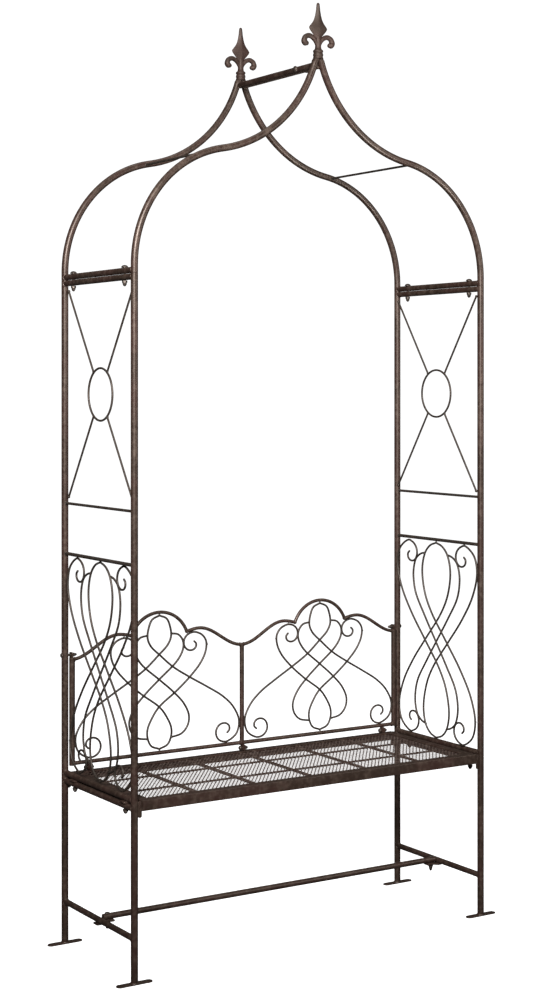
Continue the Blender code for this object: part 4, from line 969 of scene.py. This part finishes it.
def backrest_scroll_shells(sx, sides):
    """The wide scroll in one half of the backrest."""
    half = BACKREST_END_X / 2
    side_gap, shoulder_gap, top_gap, bottom_gap = 0.0003, 0.0003, 0.0012, 0.0015
    wide = half - BACKREST_END_R - side_gap - WIRE_R
    top = BACKREST_CROWN_Z - BACKREST_TOP_R - top_gap - WIRE_R
    bottom = BACKREST_BOTTOM_Z + BACKREST_BOTTOM_R + bottom_gap + WIRE_R
    centre, tall = (top + bottom) / 2, (top - bottom) / 2
    shoulder = BACKREST_SHOULDER[1] - BACKREST_TOP_R - shoulder_gap - WIRE_R - 0.0028

    def place(p, q, offset):
        return np.stack((sx * half + p, BACKREST_Y - offset, centre + q), -1)

    shape = ScrollShape(wide, tall, place)
    arm = [(0.0, 1.0), (-0.091, 0.945), (-0.136, 0.82), (-0.151, 0.676), (-0.112, 0.552), (0.0, 0.407),
           (0.164, 0.2135), (0.368, 0.039), (0.584, -0.13), (0.794, -0.309), (0.925, -0.484), (0.998, -0.7),
           (0.965, -0.9), (0.85, -1.0)]
    lower = [(0.0, -1.0), (0.098, -0.945), (0.14, -0.828), (0.14, -0.696), (0.089, -0.543), (0.0, -0.378),
             (-0.226, -0.151), (-0.397, 0.048), (-0.526, 0.242), (-0.586, 0.407), (-0.592, 0.552),
             (-0.541, 0.655), (-0.455, (shoulder - centre) / tall)]
    bent = [(-0.151, 0.715), (-0.241, 0.69), (-0.298, 0.593), (-0.301, 0.469), (-0.233, 0.304), (0.0, 0.033),
            (0.164, -0.159), (0.299, -0.357), (0.36, -0.543), (0.344, -0.688), (0.269, -0.799),
            (0.14, -0.84)]
    end, low_end = shape.keys(arm)[-1], shape.keys(lower)[-1]
    upper_wire = shape.looped(arm, (end[0] - 0.012, end[1] + 0.0255), WIDE_CURL_R)
    lower_wire = shape.looped(lower, (low_end[0] + 0.0135, low_end[1] - 0.026), SMALL_CURL_R)
    return shape.wires([upper_wire, lower_wire], bent, Y_AXIS, sides)


# ---- settings
def length_setting(name, description, default, low, high):
    """A length that a user may change, in metres."""
    return bpy.props.FloatProperty(name=name, description=description, default=default, min=low, max=high,
                                   unit="LENGTH")


def colour_setting(name, description, default):
    """A paint colour that a user may change."""
    return bpy.props.FloatVectorProperty(name=name, description=description, subtype="COLOR", size=3,
                                         default=default, min=0.0, max=1.0)


def share_setting(name, description, default):
    """A strength from zero to one that a user may change."""
    return bpy.props.FloatProperty(name=name, description=description, default=default, min=0.0, max=1.0,
                                   subtype="FACTOR")


class ArchSizes(bpy.types.PropertyGroup):
    """Sizes that a user would change."""

    bead: length_setting(
        "Weld bead", "Radius of the bead where a rail meets a post", 0.0015, 0.0005, 0.003)
    wire_sides: bpy.props.IntProperty(
        name="Wire sides", description="Faces round each scroll wire", default=14, min=8, max=24)
    mesh_pitch_x: length_setting(
        "Mesh pitch across", "Width of one opening of the seat's mesh", 0.0110, 0.006, 0.04)
    mesh_pitch_y: length_setting(
        "Mesh pitch deep", "Depth of one opening of the seat's mesh", 0.0145, 0.006, 0.04)
    strand: length_setting("Strand", "Width of a strand of the seat's mesh", 0.0026, 0.0008, 0.006)


class ArchFinish(bpy.types.PropertyGroup):
    """Colours of the paint."""

    ground: colour_setting("Ground", "Dark brown of the paint", (0.030, 0.0175, 0.0125))
    warm: colour_setting("Warm", "Reddish brown of the patches", (0.046, 0.0215, 0.0175))
    bloom: colour_setting("Bloom", "Grey-brown where the paint is rubbed", (0.135, 0.096, 0.074))
    wire: colour_setting("Wire", "Brown-black of the wires and bolts", (0.030, 0.0255, 0.0215))
    # Partly rubbed paint, partly a painted reflection of light off the flat faces of the mesh's strands.
    mesh_bloom_and_sheen: colour_setting(
        "Mesh bloom", "Lighter tone on the strands of the seat's mesh", (0.22, 0.165, 0.140))
    rubbing: share_setting("Rubbing", "How much of the paint is rubbed", 0.45)
    roughness: share_setting("Roughness", "Roughness of the tubes' paint", 0.40)


# ---- operators
class ARCH_OT_legs(bpy.types.Operator):
    """Make the four legs, the rails between them and the stretcher"""

    bl_idname = "arch.legs"
    bl_label = "Legs"

    def execute(self, context):
        bead = context.scene.arch_sizes.bead
        for corner, sx, sy in CORNERS:
            make_piece("leg_" + corner, leg_shells(sx * HALF_X, sy * HALF_Y, bead), "tube_paint")
        for side, sx in SIDES:
            z = span("leg_cross_rail_" + side)[1][2] - RAIL_R
            shells = rail_shells(sx * HALF_X, z, RAIL_R, bead) + [stretcher_tab(sx)]
            make_piece("leg_cross_rail_" + side, shells, "tube_paint")
            z = middle("leg_top_rail_" + side)[2]
            make_piece("leg_top_rail_" + side, rail_shells(sx * HALF_X, z, RAIL_R, bead), "tube_paint")
        low, high = span("stretcher")
        z = (low[2] + high[2]) / 2
        bar = straight((low[0], 0, z), (high[0], 0, z), RAIL_R, sides=28, stations=12)
        make_piece("stretcher", [bar], "tube_paint")
        return {"FINISHED"}


class ARCH_OT_panels(bpy.types.Operator):
    """Make the posts, rails and bars of the two side panels"""

    bl_idname = "arch.panels"
    bl_label = "Side panels"

    def execute(self, context):
        bead = context.scene.arch_sizes.bead
        for corner, sx, sy in CORNERS:
            low, high = span("post_" + corner)
            x, y = sx * HALF_X, sy * HALF_Y
            post = straight((x, y, low[2]), (x, y, high[2]), POST_R, stations=12)
            make_piece("post_" + corner, [post], "tube_paint")
        for side, sx in SIDES:
            for rail in ("panel_bottom_rail_", "panel_top_rail_"):
                z = middle(rail + side)[2]
                make_piece(rail + side, rail_shells(sx * HALF_X, z, RAIL_R, bead), "tube_paint")
            for bar in ("panel_mid_bar_", "panel_scroll_bar_"):
                z, radius = middle(bar + side)[2], half_size(bar + side, 2)
                make_piece(bar + side, rail_shells(sx * HALF_X, z, radius, bead * 0.8, 20), "wire_paint")
        return {"FINISHED"}


class ARCH_OT_scrolls(bpy.types.Operator):
    """Make the side scrolls and the rings with their crosses"""

    bl_idname = "arch.scrolls"
    bl_label = "Scrolls and rings"

    def execute(self, context):
        sides = context.scene.arch_sizes.wire_sides
        for side, sx in SIDES:
            make_piece("side_scroll_" + side, side_scroll_shells(sx, sides), "wire_paint")
            make_piece("ring_and_cross_" + side, ring_and_cross_shells(sx), "wire_paint")
        return {"FINISHED"}


class ARCH_OT_arch(bpy.types.Operator):
    """Make the bent arch tubes, their rails, the tie rods and the finials"""

    bl_idname = "arch.arch"
    bl_label = "Arch"

    def execute(self, context):
        bead = context.scene.arch_sizes.bead
        for corner, sx, sy in CORNERS:
            make_piece("arch_tube_" + corner, arch_tube_shells(sx, sy), "tube_paint")
        for side, sx in SIDES:
            z = middle("arch_foot_rail_" + side)[2]
            make_piece("arch_foot_rail_" + side, rail_shells(sx * HALF_X, z, RAIL_R, bead), "tube_paint")
            make_piece("arch_tie_rod_" + side, tie_rod_shells(side, sx, bead), "wire_paint")
            ridge = middle("ridge_rail_" + side)
            shells = rail_shells(ridge[0], ridge[2], RAIL_R, bead * 0.9, reach=HALF_Y - POST_R * 0.5)
            # The right ridge rail carries painted light: extra bloom for light thrown up onto it.
            make_piece("ridge_rail_" + side, shells, "tube_paint", painted_light=RIDGE_PAINTED_LIGHT[side])
        for end, sy in ENDS:
            make_piece("finial_" + end, finial_shells(end, sy), "casting_paint", 50.0)
        return {"FINISHED"}


class ARCH_OT_seat(bpy.types.Operator):
    """Make the seat's angle-iron frame and its mesh"""

    bl_idname = "arch.seat"
    bl_label = "Seat"

    def execute(self, context):
        sizes = context.scene.arch_sizes
        make_piece("seat_frame", seat_frame_shells(sizes.bead), "tube_paint", 30.0)
        sheet = mesh_sheet_shell(sizes.mesh_pitch_x, sizes.mesh_pitch_y, sizes.strand)
        make_piece("seat_mesh", [sheet], "mesh_paint", 30.0)
        return {"FINISHED"}


class ARCH_OT_backrest(bpy.types.Operator):
    """Make the backrest's frame and its two scrolls"""

    bl_idname = "arch.backrest"
    bl_label = "Backrest"

    def execute(self, context):
        sizes = context.scene.arch_sizes
        make_piece("backrest_frame", backrest_frame_shells(sizes.bead), "tube_paint")
        for side, sx in SIDES:
            make_piece("backrest_scroll_" + side, backrest_scroll_shells(sx, sizes.wire_sides), "wire_paint")
        return {"FINISHED"}


class ARCH_OT_bolts(bpy.types.Operator):
    """Make every bolt with its cap nut"""

    bl_idname = "arch.bolts"
    bl_label = "Bolts"

    def execute(self, context):
        for side, sx in SIDES:
            make_bolt("stretcher", "_" + side, 2, 1)
            make_bolt("backrest_top", "_" + side, 0, sx)
            for end, _ in ENDS:
                make_bolt("seat", "_%s_%s" % (end, side), 2, 1)
                make_bolt("arch", "_%s_%s" % (end, side), 2, 1)
        for place in ("left", "middle", "right"):
            make_bolt("backrest_foot", "_" + place, 0, -1)
        make_bolt("ridge", "", 0, -1)
        return {"FINISHED"}


class ARCH_OT_stage(bpy.types.Operator):
    """Make the pale floor, the soft lights, the world and the camera"""

    bl_idname = "arch.stage"
    bl_label = "Stage"

    def execute(self, context):
        scene = context.scene
        scene.view_settings.view_transform = "Standard"
        make_floor(scene)
        make_world(scene)
        for light in LIGHTS:
            make_light(*light)
        make_camera(scene)
        return {"FINISHED"}


# ---- stage
def make_floor(scene):
    """A wide pale disc: rings of points out to its rim, meeting at a middle point."""
    a = angles(64)
    radii = np.array((0.5, 2.0, 6.0, 20.0, 60.0))
    level = np.full((len(radii), len(a)), FLOOR_Z)
    rings = np.stack((radii[:, None] * np.cos(a), radii[:, None] * np.sin(a), level), -1)
    points, quads, tris = skin(rings, start=np.array((0.0, 0.0, FLOOR_Z)))
    mesh = bpy.data.meshes.new("floor")
    mesh.from_pydata(points.tolist(), [], quads[:, ::-1].tolist() + tris[:, ::-1].tolist())
    floor = bpy.data.objects.new("floor", mesh)
    scene.collection.objects.link(floor)
    material = bpy.data.materials.new("pale_floor")
    material.use_nodes = True
    feed(material.node_tree, material.node_tree.nodes["Principled BSDF"], {
        "Base Color": (0.9, 0.9, 0.9, 1.0), "Roughness": 0.9, "Specular IOR Level": 0.0,
        "Emission Color": WHITE, "Emission Strength": 1.05})
    mesh.materials.append(material)
    floor.visible_diffuse = False
    floor.visible_glossy = False


def make_world(scene):
    """White to the camera, and far dimmer as light."""
    world = bpy.data.worlds.new("studio")
    world.use_nodes = True
    tree = world.node_tree
    seen = tree.nodes.new("ShaderNodeLightPath").outputs["Is Camera Ray"]
    strength = new_node(tree, "ShaderNodeMapRange", {"Value": seen, "To Min": 0.035, "To Max": 1.1})
    feed(tree, tree.nodes["Background"], {"Strength": strength, "Color": WHITE})
    scene.world = world


def make_light(name, place, target, size, power, spread):
    """A square area light that faces a point, its beam fading out at half the spread in degrees."""
    data = bpy.data.lights.new(name, "AREA")
    data.size = size
    data.energy = power
    data.spread = math.radians(spread)
    light = bpy.data.objects.new(name, data)
    way = unit(np.array(place) - np.array(target))
    u, v = cross_axes(way)
    rows = np.vstack((np.column_stack((u, v, way, place)), (0, 0, 0, 1)))
    light.matrix_world = Matrix(rows.tolist())
    bpy.context.scene.collection.objects.link(light)


def make_camera(scene):
    """A level camera to the front left of the arch, its picture shifted down to take in the feet."""
    data = bpy.data.cameras.new("camera")
    data.lens = 65.085
    data.sensor_width = 36.0
    data.shift_y = -0.1141
    camera = bpy.data.objects.new("camera", data)
    camera.location = (-2.5111, -3.9410, 1.4033)
    camera.rotation_euler = (math.radians(90), 0, math.radians(-32.327))
    scene.collection.objects.link(camera)
    scene.camera = camera


class ARCH_PT_panel(bpy.types.Panel):
    """Sizes, colours and buttons of the arch."""

    bl_idname = "ARCH_PT_panel"
    bl_label = "Garden Arch Bench"
    bl_space_type = "VIEW_3D"
    bl_region_type = "UI"
    bl_category = "Arch"

    def draw(self, context):
        for settings in (context.scene.arch_sizes, context.scene.arch_finish):
            column = self.layout.column()
            for label in settings.__annotations__:
                column.prop(settings, label)
        for operator in OPERATORS:
            self.layout.operator(operator.bl_idname)


OPERATORS = (ARCH_OT_legs, ARCH_OT_panels, ARCH_OT_scrolls, ARCH_OT_arch, ARCH_OT_seat, ARCH_OT_backrest,
             ARCH_OT_bolts, ARCH_OT_stage)
CLASSES = (ArchSizes, ArchFinish, *OPERATORS, ARCH_PT_panel)


def register():
    for item in CLASSES:
        bpy.utils.register_class(item)
    bpy.types.Scene.arch_sizes = bpy.props.PointerProperty(type=ArchSizes)
    bpy.types.Scene.arch_finish = bpy.props.PointerProperty(type=ArchFinish)


def unregister():
    del bpy.types.Scene.arch_finish
    del bpy.types.Scene.arch_sizes
    for item in reversed(CLASSES):
        bpy.utils.unregister_class(item)


def main():
    """Register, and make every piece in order."""
    register()
    bpy.ops.arch.legs()
    bpy.ops.arch.panels()
    bpy.ops.arch.scrolls()
    bpy.ops.arch.arch()
    bpy.ops.arch.seat()
    bpy.ops.arch.backrest()
    bpy.ops.arch.bolts()
    bpy.ops.arch.stage()


if __name__ == "__main__":
    main()
